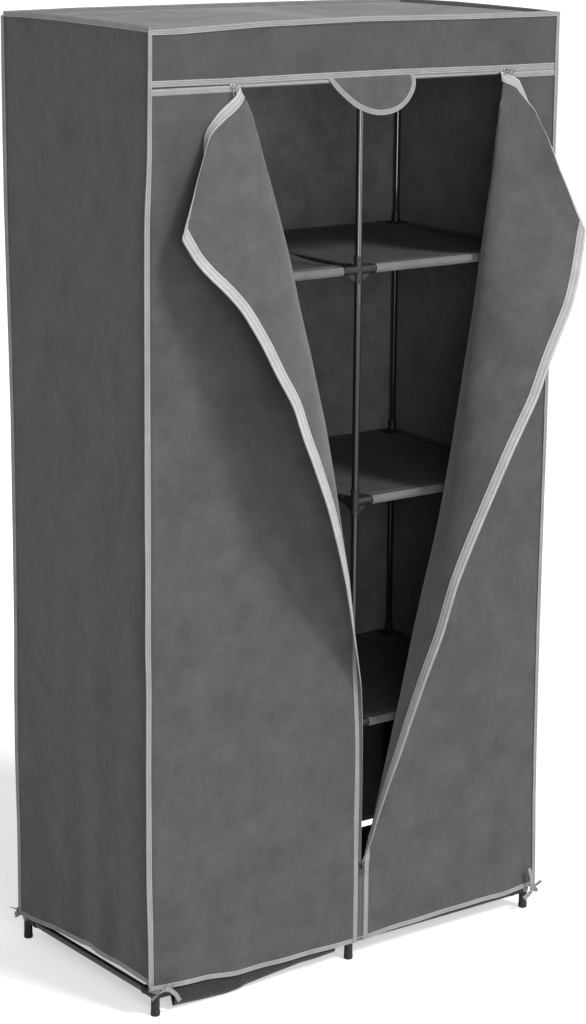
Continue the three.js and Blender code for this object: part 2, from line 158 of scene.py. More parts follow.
smooth.links.new(tone.outputs[2], result.inputs["Base Color"])
duller = node(smooth, "Math", {0: patches.outputs[0], 1: 0.16}, operation="MULTIPLY")
gloss = node(smooth, "Math", {0: given.outputs["Gloss"], 1: duller.outputs[0]}, operation="ADD")
smooth.links.new(gloss.outputs[0], result.inputs["Roughness"])
grain = node(smooth, "TexNoise", {"Vector": place, "Scale": given.outputs["Grain"], "Detail": 3.0})
relief = node(smooth, "Bump", {"Height": grain.outputs[0], "Strength": given.outputs["Grain depth"],
                               "Distance": 0.0003})
smooth.links.new(relief.outputs[0], result.inputs["Normal"])

black_paint = finish_of(
    "black_tube_paint", smooth,
    {"Tone": (0.011, 0.011, 0.012, 1), "Scuffed tone": (0.03, 0.03, 0.032, 1), "Gloss": 0.09,
     "Grain": 420.0, "Grain depth": 0.06},
    {"Coat Weight": 0.9, "Coat Roughness": 0.04, "Specular IOR Level": 0.6})


def ring_faces(rings, sides):
    """Faces round a stack of rings of points, and over its two ends."""
    faces = [(ring * sides + k, ring * sides + (k + 1) % sides,
              (ring + 1) * sides + (k + 1) % sides, (ring + 1) * sides + k)
             for ring in range(rings - 1) for k in range(sides)]
    return faces + [tuple(range(sides)), tuple((rings - 1) * sides + k for k in range(sides))]


def sweep(path, section, sides):
    """Points and faces of a closed section (across, up) carried along a path; sides[i] points across."""
    path, sides = np.asarray(path, float), np.asarray(sides, float)
    tangents = np.gradient(path, axis=0)
    tangents /= np.linalg.norm(tangents, axis=1)[:, None]
    sides = sides - tangents * (sides * tangents).sum(1)[:, None]
    sides /= np.linalg.norm(sides, axis=1)[:, None]
    ups = np.cross(tangents, sides)
    section = np.asarray(section, float)
    if section.ndim == 2:
        section = np.repeat(section[None], len(path), 0)
    points = path[:, None] + section[..., :1] * sides[:, None] + section[..., 1:] * ups[:, None]
    return points.reshape(-1, 3), ring_faces(len(path), section.shape[1])


def circle(radius, sides=ROUND):
    """A round section."""
    return [(radius * math.cos(2 * math.pi * k / sides), radius * math.sin(2 * math.pi * k / sides))
            for k in range(sides)]


def turned(profile, start, axis, sides=ROUND):
    """A lathe form: (distance along the axis, radius) pairs from a start point."""
    axis = np.asarray(axis, float)
    across = np.array([1.0, 0, 0]) if abs(axis[0]) < 0.5 else np.array([0, 1.0, 0])
    up = np.cross(axis, across)
    points = [np.asarray(start) + axis * distance + a * across + b * up
              for distance, radius in profile for a, b in circle(radius, sides)]
    return points, ring_faces(len(profile), sides)


def joined(forms):
    """Several (points, faces) as one."""
    points, faces = [], []
    for more_points, more_faces in forms:
        faces += [tuple(k + len(points) for k in face) for face in more_faces]
        points += [tuple(p) for p in more_points]
    return points, faces


def tube_between(low, high, radius, bevel=0.6 * MM):
    """A tube down the middle of a long box, with eased ends."""
    low, high = np.array(low), np.array(high)
    length = (high - low).max()
    axis = np.eye(3)[np.argmax(high - low)]
    start = (low + high - axis * length) / 2
    return turned([(0, radius - bevel), (bevel, radius), (length - bevel, radius), (length, radius - bevel)],
                  start, axis)


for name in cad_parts:
    if name.startswith(("tube_", "depth_tube_")) or name == "hanging_rail":
        tube = piece("steel_" + name, *tube_between(*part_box(name), tube_radius), black_paint)
        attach(tube, "wardrobe")
        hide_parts(name)


# Columns: four upright tubes end to end, in moulded black connectors. Each connector has a sleeve on
# the upright, an arm with a collar for each cross tube, and a gusset rib under the arm.
black_plastic = finish_of(
    "black_moulded_plastic", smooth,
    {"Tone": (0.014, 0.014, 0.015, 1), "Scuffed tone": (0.04, 0.04, 0.042, 1), "Gloss": 0.34,
     "Grain": 1500.0, "Grain depth": 0.25},
    {"Specular IOR Level": 0.45})

front_row = -0.136605
rear_row = 0.291795
column_x = 0.4292
columns = {"left": -column_x, "middle": 0.0, "right": column_x}
rows_y = {"front": front_row, "rear": rear_row}
bottom_level, level_step = 38 * MM, 415.3 * MM
LEVEL_NAMES = ("bottom", "lower", "middle", "upper", "top")
levels = [bottom_level + step * level_step for step in range(len(LEVEL_NAMES))]
RAIL, TOP = 3, 4
sleeve_half = 24 * MM
arm_length = 34 * MM
body_radius, collar_radius = 7.8 * MM, 8.4 * MM
collar_length, chamfer = 6 * MM, 0.6 * MM
bore_radius, bore_depth = tube_radius + 0.1 * MM, 3 * MM
foot_length, foot_chamfer = 9 * MM, 1.2 * MM
cap_rise = 8.4 * MM
# How the ends of a column's mouldings are turned: distance from the end, radius
foot_end = [(0, collar_radius - foot_chamfer), (foot_chamfer, collar_radius), (foot_length, collar_radius),
            (foot_length + chamfer, body_radius)]
lower_end = [(0, bore_radius), (0, collar_radius - chamfer), (chamfer, collar_radius),
             (collar_length - chamfer, collar_radius), (collar_length, body_radius)]
upper_end = [(collar_length, body_radius), (collar_length - chamfer, collar_radius), (chamfer, collar_radius),
             (0, bore_radius)]
cap_end = [(2.4 * MM, body_radius + 0.4 * MM), (0.8 * MM, body_radius), (0, body_radius - 2 * MM)]
# The rib's outline: along the arm and down the sleeve, in millimetres
rib_outline = [(5, 0), (27, 6.5), (24, 9), (9, 21), (5, 21)]
rib_thickness = 2.6 * MM
reaches = {"left": (1,), "middle": (-1, 1), "right": (-1,)}


def arms_at(column, level):
    """The ways of a connector's arms along the front or the rear."""
    if level == 0 or level >= RAIL:
        return reaches[column]
    return {"left": (), "middle": (1,), "right": (-1,)}[column]


def rib(centre, way, below):
    """A gusset between the sleeve and an arm: a thin three-sided plate."""
    way = np.array(way, float)
    side = np.cross(way, (0, 0, 1)) * rib_thickness / 2
    down = np.array((0, 0, -1.0 if below else 1.0))
    corners = [centre + way * along * MM + down * drop * MM for along, drop in rib_outline]
    points = [c - side for c in corners] + [c + side for c in corners]
    count = len(corners)
    faces = [tuple(range(count)), tuple(range(count, 2 * count))]
    faces += [(k, (k + 1) % count, count + (k + 1) % count, count + k) for k in range(count)]
    return points, faces


def collared(length):
    """Profile of an arm with a raised collar and a bore at its mouth."""
    return [(0, body_radius), (length - collar_length, body_radius),
            (length - collar_length + chamfer, collar_radius), (length - chamfer, collar_radius),
            (length, collar_radius - chamfer), (length, bore_radius), (length - bore_depth, bore_radius)]


def connector(column, level, x, y, inward):
    """A column's foot, connector or cap at a level, with its arms and their ribs."""
    z = levels[level]
    centre = np.array((x, y, z))
    low = 0.0 if level == 0 else z - sleeve_half
    length = z + (cap_rise if level == TOP else sleeve_half) - low
    profile = (foot_end if level == 0 else lower_end) + [
        (length - drop, radius) for drop, radius in (cap_end if level == TOP else upper_end)]
    forms = [turned(profile, (x, y, low), (0, 0, 1))]
    ways = [(side, 0, 0) for side in arms_at(column, level)]
    if level == 0 or level >= RAIL or column != "left":
        ways.append((0, inward, 0))
    for way in ways:
        forms.append(turned(collared(arm_length), centre, way))
        forms.append(rib(centre, way, below=level != 0))
    return joined(forms)


for column, x in columns.items():
    for row, y in rows_y.items():
        inward = 1 if row == "front" else -1
        upright_tube = piece(
            f"upright_{row}_{column}",
            *turned([(0, tube_radius), (levels[TOP] - levels[0], tube_radius)], (x, y, levels[0]), (0, 0, 1)),
            black_paint)
        forms = [connector(column, level, x, y, inward) for level in range(len(levels))]
        moulded = piece(f"connectors_{row}_{column}", *joined(forms), black_plastic)
        for part, slot in ((upright_tube, "tube_steel"), (moulded, "connector_plastic")):
            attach(part, "wardrobe")
            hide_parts(f"column_{row}_{column}")


# Rail tees: moulded like the connectors, threaded on the two depth tubes, with an arm for the rail.
# Each has a short collar at both ends of its sleeve.
tee_bore, tee_collar = tube_radius + 0.2 * MM, 5 * MM
tee_end = [(0, tee_bore), (0, collar_radius), (tee_collar, collar_radius),
           (tee_collar + chamfer, body_radius)]
for side, way in (("left", 1), ("right", -1)):
    low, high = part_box("rail_tee_" + side)
    x = -column_x if side == "left" else 0.0
    centre = np.array((x, (low.y + high.y) / 2, (low.z + high.z) / 2))
    length = high.y - low.y
    profile = tee_end + [(length - along, radius) for along, radius in reversed(tee_end)]
    through = turned(profile, centre - (0, length / 2, 0), (0, 1, 0))
    tee = piece(f"rail_joint_{side}", *joined([through, turned(collared(arm_length), centre, (way, 0, 0))]),
                black_plastic)
    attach(tee, "wardrobe")
    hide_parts("rail_tee_" + side)


# Shelf cloths: grey non-woven cloth, each one piece with a sleeve stitched round its front and rear tube.
# It sags between the tubes, is notched round the connectors, and its sides are hemmed.
nonwoven, given, result = effect(
    "nonwoven_cloth",
    [("Tone", "Color", (0.1, 0.1, 0.1, 1)), ("Pale tone", "Color", (0.12, 0.12, 0.12, 1)),
     ("Crease scale", "Float", 7.0), ("Crease depth", "Float", 0.5), ("Bond depth", "Float", 0.35)],
    [("Base Color", "Color"), ("Roughness", "Float"), ("Normal", "Vector")])
place = node(nonwoven, "TexCoord").outputs["Object"]
clouds = node(nonwoven, "TexNoise", {"Vector": place, "Scale": 17.0, "Detail": 10.0, "Roughness": 0.7})
fibres = node(nonwoven, "TexNoise", {"Vector": place, "Scale": 620.0, "Detail": 4.0, "Roughness": 0.7})
mottle = node(nonwoven, "Mix", {0: 0.3, 2: clouds.outputs[0], 3: fibres.outputs[0]}, data_type="FLOAT")
spread_tone = node(nonwoven, "MapRange", {"Value": mottle.outputs[0], "From Min": 0.40, "From Max": 0.60})
tone = node(nonwoven, "Mix", {0: spread_tone.outputs[0], 6: given.outputs["Tone"],
                              7: given.outputs["Pale tone"]}, data_type="RGBA")
nonwoven.links.new(tone.outputs[2], result.inputs["Base Color"])
rough = node(nonwoven, "MapRange", {"Value": fibres.outputs[0], "To Min": 0.82, "To Max": 0.98})
nonwoven.links.new(rough.outputs[0], result.inputs["Roughness"])
creases = node(nonwoven, "TexNoise", {"Vector": place, "Scale": given.outputs["Crease scale"], "Detail": 7.0,
                                      "Roughness": 0.55, "Distortion": 0.8})
creased = node(nonwoven, "Bump", {"Height": creases.outputs[0], "Strength": given.outputs["Crease depth"],
                                  "Distance": 0.006})
bonds = node(nonwoven, "TexVoronoi", {"Vector": place, "Scale": 560.0})
dimpled = node(nonwoven, "Bump", {"Height": bonds.outputs["Distance"], "Distance": 0.0005,
                                  "Strength": given.outputs["Bond depth"], "Normal": creased.outputs[0]})
nonwoven.links.new(dimpled.outputs[0], result.inputs["Normal"])


def cloth_finish(name, tone, pale, crease_scale=7.0, crease_depth=0.35, bond_depth=0.3, sheen=0.25):
    return finish_of(name, nonwoven, {"Tone": (*tone, 1), "Pale tone": (*pale, 1),
                                      "Crease scale": crease_scale, "Crease depth": crease_depth,
                                      "Bond depth": bond_depth},
                     {"Sheen Weight": sheen, "Sheen Roughness": 0.5, "Specular IOR Level": 0.25})


def normals_of(grid):
    """The direction that a grid of points (rows, columns) faces at each point."""
    normals = np.cross(np.gradient(grid, axis=1), np.gradient(grid, axis=0))
    return normals / np.maximum(np.linalg.norm(normals, axis=2), 1e-12)[..., None]


def closed_sheet(one_face, other_face, keep=None):
    """A closed sheet between two grids of points (rows, columns). keep says which cells are cloth."""
    rows, count = one_face.shape[:2]
    points = np.concatenate([one_face.reshape(-1, 3), other_face.reshape(-1, 3)])
    back = rows * count
    kept = np.ones((rows - 1, count - 1), bool) if keep is None else np.asarray(keep)
    faces = []
    for j, i in np.argwhere(kept):
        a, b = j * count + i, j * count + i + 1
        c, d = b + count, a + count
        faces += [(a, b, c, d), (back + d, back + c, back + b, back + a)]
        for row, column, start, end in ((j - 1, i, b, a), (j + 1, i, d, c), (j, i - 1, a, d),
                                        (j, i + 1, c, b)):
            if not (0 <= row < rows - 1 and 0 <= column < count - 1 and kept[row, column]):
                faces.append((start, end, back + end, back + start))
    used = sorted({k for face in faces for k in face})
    places = {k: n for n, k in enumerate(used)}
    return points[used], [tuple(int(places[k]) for k in face) for face in faces]


def cloth_sheet(grid, thickness, keep=None):
    """A closed sheet of even thickness round a grid of middle points."""
    grid = np.asarray(grid, float)
    offset = normals_of(grid) * thickness / 2
    return closed_sheet(grid + offset, grid - offset, keep)


def ripple(point, scale, seed=0.0):
    """Smooth unevenness between -1 and 1, the same on each run."""
    return noise.noise(Vector((point[0] * scale + seed, point[1] * scale, point[2] * scale - seed)))


def paint_light_by_facing(panel, way, painted_copy, least=0.3):
    """Gives the faces of a panel that look a certain way another finish: a copy of its cloth with painted
    light or shade.
    """
    panel.data.materials.append(painted_copy)
    for face in panel.data.polygons:
        if face.normal @ Vector(way) > least:
            face.material_index = 1


shelf_grey = cloth_finish("shelf_cloth", (0.105, 0.106, 0.112), (0.135, 0.136, 0.142), 16.0, 0.5)
# the single cloth of the shelves: a darker copy of the shelf cloth, for painted shade
field_painted_shade = cloth_finish("shelf_field_painted_shade", (0.040, 0.0403, 0.043), (0.056, 0.0563, 0.0592), 16.0, 0.6,
                          sheen=0.03)
# the bottom shelf cloths: a much darker copy of the shelf cloth, for painted shade low under the wardrobe
painted_shade_grey = cloth_finish("low_shelf_cloth_painted_shade", (0.015, 0.0153, 0.0162), (0.023, 0.0233, 0.0243), 16.0, 0.5)
stitch_thread = cloth_finish("sewing_thread", (0.12, 0.12, 0.124), (0.16, 0.16, 0.165), 60.0, 0.1)
shelf_thickness = 0.9 * MM
# faces that look up more nearly than this get the painted shade of the single cloth
shaded_top_facing = 0.97  # how nearly a face has to look up to be the single cloth's
sleeve_radius = 7.6 * MM
column_clear = 10.4 * MM  # from a column's middle to the side of the cloth
sleeve_start = arm_length + 2 * MM  # to the end of a sleeve, beside the connector's arm
shelf_sag, rail_rise = 9 * MM, 3 * MM
rail_dip = 9.5 * MM  # how far the cloth over the hanging rail sags on each side of it
# from a tube's middle: the sleeve's seam below, its stitches on top, and where the single cloth starts
seam_reach, stitch_inset, field_inset = 17 * MM, 11.5 * MM, 14 * MM
seam_gap = 1.6 * MM  # from the cloth above down to the sleeve's end
stitch_lift = 0.1 * MM
rise_scale, rise_seed, rise_height = 16.0, 3.1, 1.1 * MM  # unevenness of the single cloth
pucker_pitch, pucker_height = 210, 0.14 * MM  # ... and of the sleeves
# how far the front sleeve of the bottom left cloth, too wide for its tube, hangs below it: x, mm
slack_sleeve = ((-0.385, 21), (-0.37, 22), (-0.33, 24.5), (-0.285, 26), (-0.262, 25.5), (-0.25, 24.5),
                (-0.243, 21.5), (-0.205, 18), (-0.16, 14), (-0.115, 10.5), (-0.07, 10), (-0.03, 8))


def lengths_along(curve):
    """How far along a curve each of its points lies."""
    return np.concatenate([[0], np.cumsum(np.linalg.norm(np.diff(curve, axis=0), axis=1))])


def points_at(curve, places, lengths=None):
    """Points of a curve at those lengths along it."""
    lengths = lengths_along(curve) if lengths is None else lengths
    return np.stack([np.interp(places, lengths, curve[:, k]) for k in range(3)], -1)


def stitches(path, normal, pitch=4.5 * MM, length=3.2 * MM, width=0.9 * MM):
    """A row of thread stitches lying on cloth along a path of close points."""
    path = np.asarray(path, float)
    lift = np.array(normal) * width * 0.35
    forms = []
    for start in np.arange(pitch / 2, lengths_along(path)[-1] - length, pitch):
        ends = points_at(path, (start, start + length / 2, start + length))
        forms.append(sweep([ends[0] - lift, ends[1] + lift, ends[2] - lift], circle(width / 2, 5),
                           [normal] * 3))
    return joined(forms)


def shelf_top(share, sag):
    """Height of the cloth over the tubes' axes, at a share of the way from the middle to a tube."""
    over_rail = sag < 0
    return sleeve_radius - sag * (1 - share ** 2) - over_rail * rail_dip * abs(math.sin(math.pi * share))


def shelf_section(sag, steps=22):
    """(y, z) of the cloth from the front seam, round the front tube, over to the rear one and its seam."""
    middle = (front_row + rear_row) / 2
    half = (rear_row - front_row) / 2
    wrap = [(half + sleeve_radius * math.sin(angle), sleeve_radius * math.cos(angle))
            for angle in np.linspace(0, math.pi * 1.08, 12)]
    under = wrap + [(half - seam_reach * share, -sleeve_radius + share * (2 * sleeve_radius - seam_gap)
                     - 0.25 * sag * share) for share in np.linspace(0.3, 1, 5)]
    inner = half - field_inset
    top = [(y, shelf_top(y / half, sag)) for y in np.linspace(-inner, inner, steps)]
    front = [(-y, z) for y, z in reversed(under)]
    return np.array([(middle + y, z) for y, z in front + top + under]), len(front), len(top)


def shelf_wave(x, y, level, stations):
    """How far a shelf's single cloth lies above or below its even sag: nothing at its sides."""
    edge = math.sin(math.pi * (x - stations[0]) / (stations[-1] - stations[0]))
    return ripple((x, y, level), rise_scale, rise_seed * level) * rise_height * edge, edge


for side, (start_x, end_x) in {"left": (-column_x, 0.0), "right": (0.0, column_x)}.items():
    for level in ((0, RAIL) if side == "left" else (0, 1, 2, RAIL)):
        sag = -rail_rise if side == "left" and level == RAIL else shelf_sag
        section, front_count, top_count = shelf_section(sag)
        stations = np.concatenate([
            np.linspace(start_x + column_clear, start_x + sleeve_start, 4),
            np.linspace(start_x + sleeve_start, end_x - sleeve_start, 40)[1:-1],
            np.linspace(end_x - sleeve_start, end_x - column_clear, 4)])
        grid = np.zeros((len(section), len(stations), 3))
        for j, (y, z) in enumerate(section):
            for i, x in enumerate(stations):
                wave, edge = shelf_wave(x, y, level, stations)
                if not front_count <= j < front_count + top_count:
                    wave = wave / 4 + pucker_height * math.sin(x * pucker_pitch + level) * edge
                grid[j, i] = (x, y, levels[level] + z + wave)
        if side == "left" and level == 0:
            # this one stops short of the left columns, and the floor shows beside it
            stations, grid = stations[3:], grid[:, 3:]
            droop = np.interp(stations, *zip(*slack_sleeve)) * MM
            share = np.clip(-section[:, 1] / sleeve_radius, 0, 1) * (section[:, 0] < front_row + seam_reach)
            for i, x in enumerate(stations):
                grid[:, i, 2] -= share * droop[i]
                grid[:, i, 1] -= share * droop[i] * (0.10 + 0.07 * ripple((x, 0, 0), 30.0, 4.0))
        centres_x = (stations[1:] + stations[:-1]) / 2
        centres_y = (section[1:, 0] + section[:-1, 0]) / 2
        in_sleeve = (centres_x > start_x + sleeve_start) & (centres_x < end_x - sleeve_start)
        in_field = (centres_y > front_row + sleeve_start) & (centres_y < rear_row - sleeve_start)
        number = np.arange(len(section) - 1)
        in_field &= (number >= front_count) & (number < front_count + top_count - 1)
        keep = in_sleeve[None, :] | in_field[:, None]
        shelf = piece(f"shelf_sheet_{side}_{LEVEL_NAMES[level]}", *cloth_sheet(grid, shelf_thickness, keep),
                      painted_shade_grey if level == 0 else shelf_grey, sharp=60)
        # the single cloth between the sleeves is painted darker than the sleeves: painted shade, for the
        # shade of the clothes lying on it
        paint_light_by_facing(shelf, (0, 0, 1), field_painted_shade, shaded_top_facing)
        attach(shelf, "wardrobe")
        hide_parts(f"shelf_cloth_{side}_{LEVEL_NAMES[level]}")
        seams = []
        for y in (front_row + stitch_inset, rear_row - stitch_inset):
            share = (y - (front_row + rear_row) / 2) / ((rear_row - front_row) / 2)
            z = levels[level] + shelf_top(share, sag) + shelf_thickness / 2 + stitch_lift
            run = [(x, y, z + shelf_wave(x, y, level, stations)[0]) for x in stations[1:-4]
                   if x > start_x + sleeve_start]
            seams.append(stitches(run, (0, 0, 1)))
        thread = piece(f"shelf_stitches_{side}_{LEVEL_NAMES[level]}", *joined(seams), stitch_thread)
        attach(thread, "wardrobe")


# Cover panels: the sides and the back hang from the top edge in one length of grey non-woven cloth. They
# lie against the frame above and fall into shallow folds at the hem, which stops above the floor.
cover_grey = cloth_finish("cover_cloth", (0.046, 0.0465, 0.048), (0.064, 0.0646, 0.0665), 9.0, 0.8)
# the inner faces of the cover: lighter, slightly bluish copies of the cover cloth, for painted light inside
# the wardrobe
side_inside = cloth_finish("side_inside", (0.068, 0.067, 0.072), (0.104, 0.103, 0.11), 12.0, 1.0)
inside_grey = cloth_finish("cover_inside", (0.105, 0.104, 0.113), (0.165, 0.164, 0.175), 12.0, 1.0)
cloth = 1.2 * MM
front_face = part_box("valance")[0].y
rear_face = front_face + 450 * MM
side_face = 0.44
cover_top_z = 1.71
hem_height, hem_rise, hem_flare = 54 * MM, 8 * MM, 7 * MM
fold_count, fold_depth, fold_strength = 4, 5 * MM, 0.4
seam_inset = 2.4 * MM  # from the cover's edges in to where the panels are sewn together
panel_edge = side_face - seam_inset
panel_top = cover_top_z - seam_inset
# Creases from folding for the box and from hanging: scale, seed and depth of each kind
swells, crumples, sharp_creases = (5.5, 7.0, 1.6 * MM), (22.0, 2.0, 0.7 * MM), (13.0, 11.0, 0.35 * MM)
crumple_stretch = (1.6, 1.6, 0.7)
# ... how strong they are on the sides, below and above a share of the height, and on the back
side_creases_low, side_creases_high, side_change = 0.64, 0.32, 0.2
back_creases, back_lift, back_fold_lines = 2.4, 0.6 * MM, 1.8 * MM


def fold_at(across, up, phase):
    """How far a hanging panel stands out: folds that are deepest at the hem and none at its seams."""
    loose = math.sin(math.pi * across) * (1 - up) ** 2
    wave = math.sin(fold_count * math.pi * across) ** 2
    uneven = (2 + math.sin(fold_count * across + phase)) / 3
    return fold_strength * loose * wave * uneven * (hem_flare * (1 - up) + fold_depth)


def hem_at(across, phase):
    """Height of a hem that waves with the folds above it."""
    return hem_height + hem_rise * math.sin(math.pi * across) * math.sin(fold_count * across + phase)


def along_table(table, place, length):
    """The values of a table (place, value, ...) at a place, eased over a length so that no kink shows."""
    table = np.asarray(table, float)
    order = np.argsort(table[:, 0])
    near = place + np.linspace(-length, length, 9)
    return np.array([np.interp(near, table[order, 0], column).mean() for column in table[order, 1:].T])


# Height of the side hems from the front corner to the rear one, in millimetres
side_hem = [(0, 54), (0.05, 60), (0.16, 63), (0.31, 62), (0.46, 65), (0.51, 61), (0.62, 61), (0.77, 54),
            (0.92, 47), (1, 45)]
hem_ease = 0.02


def wrinkle(point, free, depth):
    """How far creases lift the cloth at a point, where free is 0 beside a seam and 1 away from it."""
    stretched = [value * stretch for value, stretch in zip(point, crumple_stretch)]
    broad = ripple(point, *swells[:2]) * swells[2]
    fine = ripple(stretched, *crumples[:2]) * crumples[2]
    sharp = (1 - abs(ripple(point, *sharp_creases[:2])) * 2) * sharp_creases[2]
    return (broad + fine + sharp) * free * depth


def panel_grid(columns, rows, place_at):
    """Points of a panel, where place_at(u, v) gives the one at a share u across and a share v up."""
    return np.array([[place_at(i / columns, j / rows) for i in range(columns + 1)] for j in range(rows + 1)])


def away_from_seams(across, up):
    """0 at a panel's top and side seams and 1 away from them."""
    return min(1.0, 6 * math.sin(math.pi * across)) * min(1.0, 12 * (1 - up) + 0.001)


panels, panel_grids = {}, {}
for side, sign in (("left", -1), ("right", 1)):
    def side_point(u, v, sign=sign):
        y = front_face + (rear_face - front_face) * u
        hem = along_table(side_hem, u, hem_ease)[0] * MM
        z = hem + (panel_top - hem) * v
        fold = fold_at(u, v, 1)
        crease = wrinkle((sign * 3.0, y, z), away_from_seams(u, v),
                         side_creases_high if v > side_change else side_creases_low)
        return (sign * (side_face + min(fold - cloth / 2 + crease, fold + 2 * MM)), y, z)

    panel_grids[side] = panel_grid(52, 150, side_point)
    panels[side] = piece(f"{side}_side_panel", *cloth_sheet(panel_grids[side], cloth), cover_grey)
    paint_light_by_facing(panels[side], (-sign, 0, 0), side_inside)
    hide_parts(f"cover_{side}_side")


def back_point(u, v):
    x = panel_edge * (2 * u - 1)
    hem = hem_at(1 - u, 0)
    z = hem + (panel_top - hem) * v
    free = away_from_seams(u, v)
    out = fold_at(1 - u, v, 0) - cloth / 2 + wrinkle((x, 5.0, z), free, back_creases) + back_lift
    # upright creases from lying folded
    out += back_fold_lines * abs(ripple((x * 2.4, 5.0, z * 0.4), 10.0, 3.0)) * free
    return (x, rear_face + out, z)


panel_grids["back"] = panel_grid(100, 170, back_point)
panels["back"] = piece("back_panel", *cloth_sheet(panel_grids["back"], cloth), cover_grey)
paint_light_by_facing(panels["back"], (0, -1, 0), inside_grey)
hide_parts("cover_back")


# Top panel: the same cloth laid over the top tubes, sagging between them in each half, so that the tubes
# make a raised rim round it. It is painted paler than the sides: painted light, for the light falling on the
# top.
top_painted_light = cloth_finish("top_cloth", (0.074, 0.0748, 0.078), (0.103, 0.104, 0.108), 9.0, 0.8, sheen=0.5)
top_sag, top_rim, dip_shape = 24 * MM, 34 * MM, 0.85
top_swells, top_crumples = (9.0, 4.0, 3.0 * MM), (24.0, 5.0, 1.2 * MM)


def dip(place, low, high):
    """How far the cloth sags between two tubes: 1 in the middle, 0 at the tubes and past them."""
    share = (place - low) / (high - low)
    return 0.0 if share <= 0 or share >= 1 else math.sin(math.pi * share) ** dip_shape


def top_point(u, v):
    x = side_face * (2 * u - 1)
    y = front_face + (rear_face - front_face) * v
    loose = (dip(abs(x), top_rim / 2, side_face - top_rim / 2)
             * dip(y, front_face + top_rim / 2, rear_face - top_rim / 2))
    uneven = sum(ripple((x, y, 1.7), scale, seed) * height
                 for scale, seed, height in (top_swells, top_crumples))
    return (x, y, cover_top_z - cloth / 2 + (uneven - top_sag) * loose)


panels["top"] = piece("top_panel", *cloth_sheet(panel_grid(96, 50, top_point), cloth), top_painted_light)
paint_light_by_facing(panels["top"], (0, 0, -1), inside_grey)
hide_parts("cover_top")
for panel in panels.values():
    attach(panel, "wardrobe")


# Bindings: a light grey woven tape folded over the raw edges of every seam and hem and sewn through near
# its two borders. At the corners the bound seam stands out as a narrow fin, which wanders a little.
woven, given, result = effect(
    "woven_tape",
    [("Tone", "Color", (0.4, 0.4, 0.4, 1)), ("Pale tone", "Color", (0.5, 0.5, 0.5, 1)),
     ("Thread tone", "Color", (0.2, 0.2, 0.2, 1)), ("First seam", "Float", 0.002),
     ("Second seam", "Float", 0.008), ("Rib depth", "Float", 0.4)],
    [("Base Color", "Color"), ("Roughness", "Float"), ("Normal", "Vector")])
place = node(woven, "TexCoord").outputs["Object"]
lay = node(woven, "SeparateXYZ", {0: node(woven, "Attribute", attribute_name="lay").outputs["Vector"]})
along, across, ridge = lay.outputs[0], lay.outputs[1], lay.outputs[2]
rib_pitch, stitch_pitch, stitch_share, thread_half = 1.2 * MM, 3.1 * MM, 0.66, 0.4 * MM


def counted(kind, first, second=None):
    """The result of a Math node in the tape's effect."""
    values = {0: first} if second is None else {0: first, 1: second}
    return node(woven, "Math", values, operation=kind).outputs[0]


ribs = counted("SINE", counted("MULTIPLY", along, 2 * math.pi / rib_pitch))
fibres = node(woven, "TexNoise", {"Vector": place, "Scale": 900.0, "Detail": 4.0, "Roughness": 0.7})
clouds = node(woven, "TexNoise", {"Vector": place, "Scale": 30.0, "Detail": 4.0})
dashes = counted("LESS_THAN", counted("FRACT", counted("DIVIDE", along, stitch_pitch)), stitch_share)
rows_of_thread = []
for label in ("First seam", "Second seam"):
    away = counted("ABSOLUTE", counted("SUBTRACT", across, given.outputs[label]))
    rows_of_thread.append(counted("LESS_THAN", away, thread_half))
thread = counted("MULTIPLY", counted("MAXIMUM", *rows_of_thread), dashes)
mottle = node(woven, "Mix", {0: 0.5, 2: clouds.outputs[0], 3: fibres.outputs[0]}, data_type="FLOAT")
spread_tone = node(woven, "MapRange", {"Value": mottle.outputs[0], "From Min": 0.36, "From Max": 0.64})
# raised parts of a tape are painted paler than its hollows: painted highlight, together with tone that
# differs at random
paler_with_highlight = counted("ADD", counted("MULTIPLY", spread_tone.outputs[0], 0.35), counted("MULTIPLY", ridge, 0.65))
tone = node(woven, "Mix", {0: paler_with_highlight, 6: given.outputs["Tone"], 7: given.outputs["Pale tone"]},
            data_type="RGBA")
sewn = node(woven, "Mix", {0: thread, 6: tone.outputs[2], 7: given.outputs["Thread tone"]},
            data_type="RGBA")
woven.links.new(sewn.outputs[2], result.inputs["Base Color"])
rough = node(woven, "MapRange", {"Value": fibres.outputs[0], "To Min": 0.62, "To Max": 0.86})
woven.links.new(rough.outputs[0], result.inputs["Roughness"])
height = counted("ADD", counted("MULTIPLY", ribs, 0.35), fibres.outputs[0])
height = counted("SUBTRACT", height, counted("MULTIPLY", thread, 1.2))
relief = node(woven, "Bump", {"Height": height, "Strength": given.outputs["Rib depth"], "Distance": 0.0004})
woven.links.new(relief.outputs[0], result.inputs["Normal"])


def tape_finish(name, tone, pale, thread_tone, seams, rib_depth=0.5):
    return finish_of(name, woven, {"Tone": (*tone, 1), "Pale tone": (*pale, 1),
                                   "Thread tone": (*thread_tone, 1), "First seam": seams[0],
                                   "Second seam": seams[1], "Rib depth": rib_depth},
                     {"Sheen Weight": 0.15, "Sheen Roughness": 0.4, "Specular IOR Level": 0.35})


binding_tape = tape_finish("binding_tape", (0.15, 0.151, 0.154), (0.36, 0.362, 0.366), (0.10, 0.10, 0.102),
                           (2.2 * MM, 6.2 * MM))


least_slant = 0.4  # of a cloth's rows against its edge, as a sine


def beside(grid, edge, distances):
    """Points on a cloth's grid at those distances in from its edge: its first row, last row or rows' end."""
    if edge != "end":
        grid = grid.transpose(1, 0, 2)[:, ::-1 if edge == "first" else 1]
    rows = []
    for way, row in zip(np.gradient(grid[:, -1], axis=0), grid):
        line = row[::-1]
        lengths = lengths_along(line)
        inward = (line[1] - line[0]) / max(lengths[1], 1e-9)
        slant = np.linalg.norm(np.cross(inward, way / np.linalg.norm(way)))
        reach = np.asarray(distances) / max(slant, least_slant)
        rows.append(points_at(line, reach, lengths) + np.minimum(reach, 0)[:, None] * inward)
    return np.array(rows)


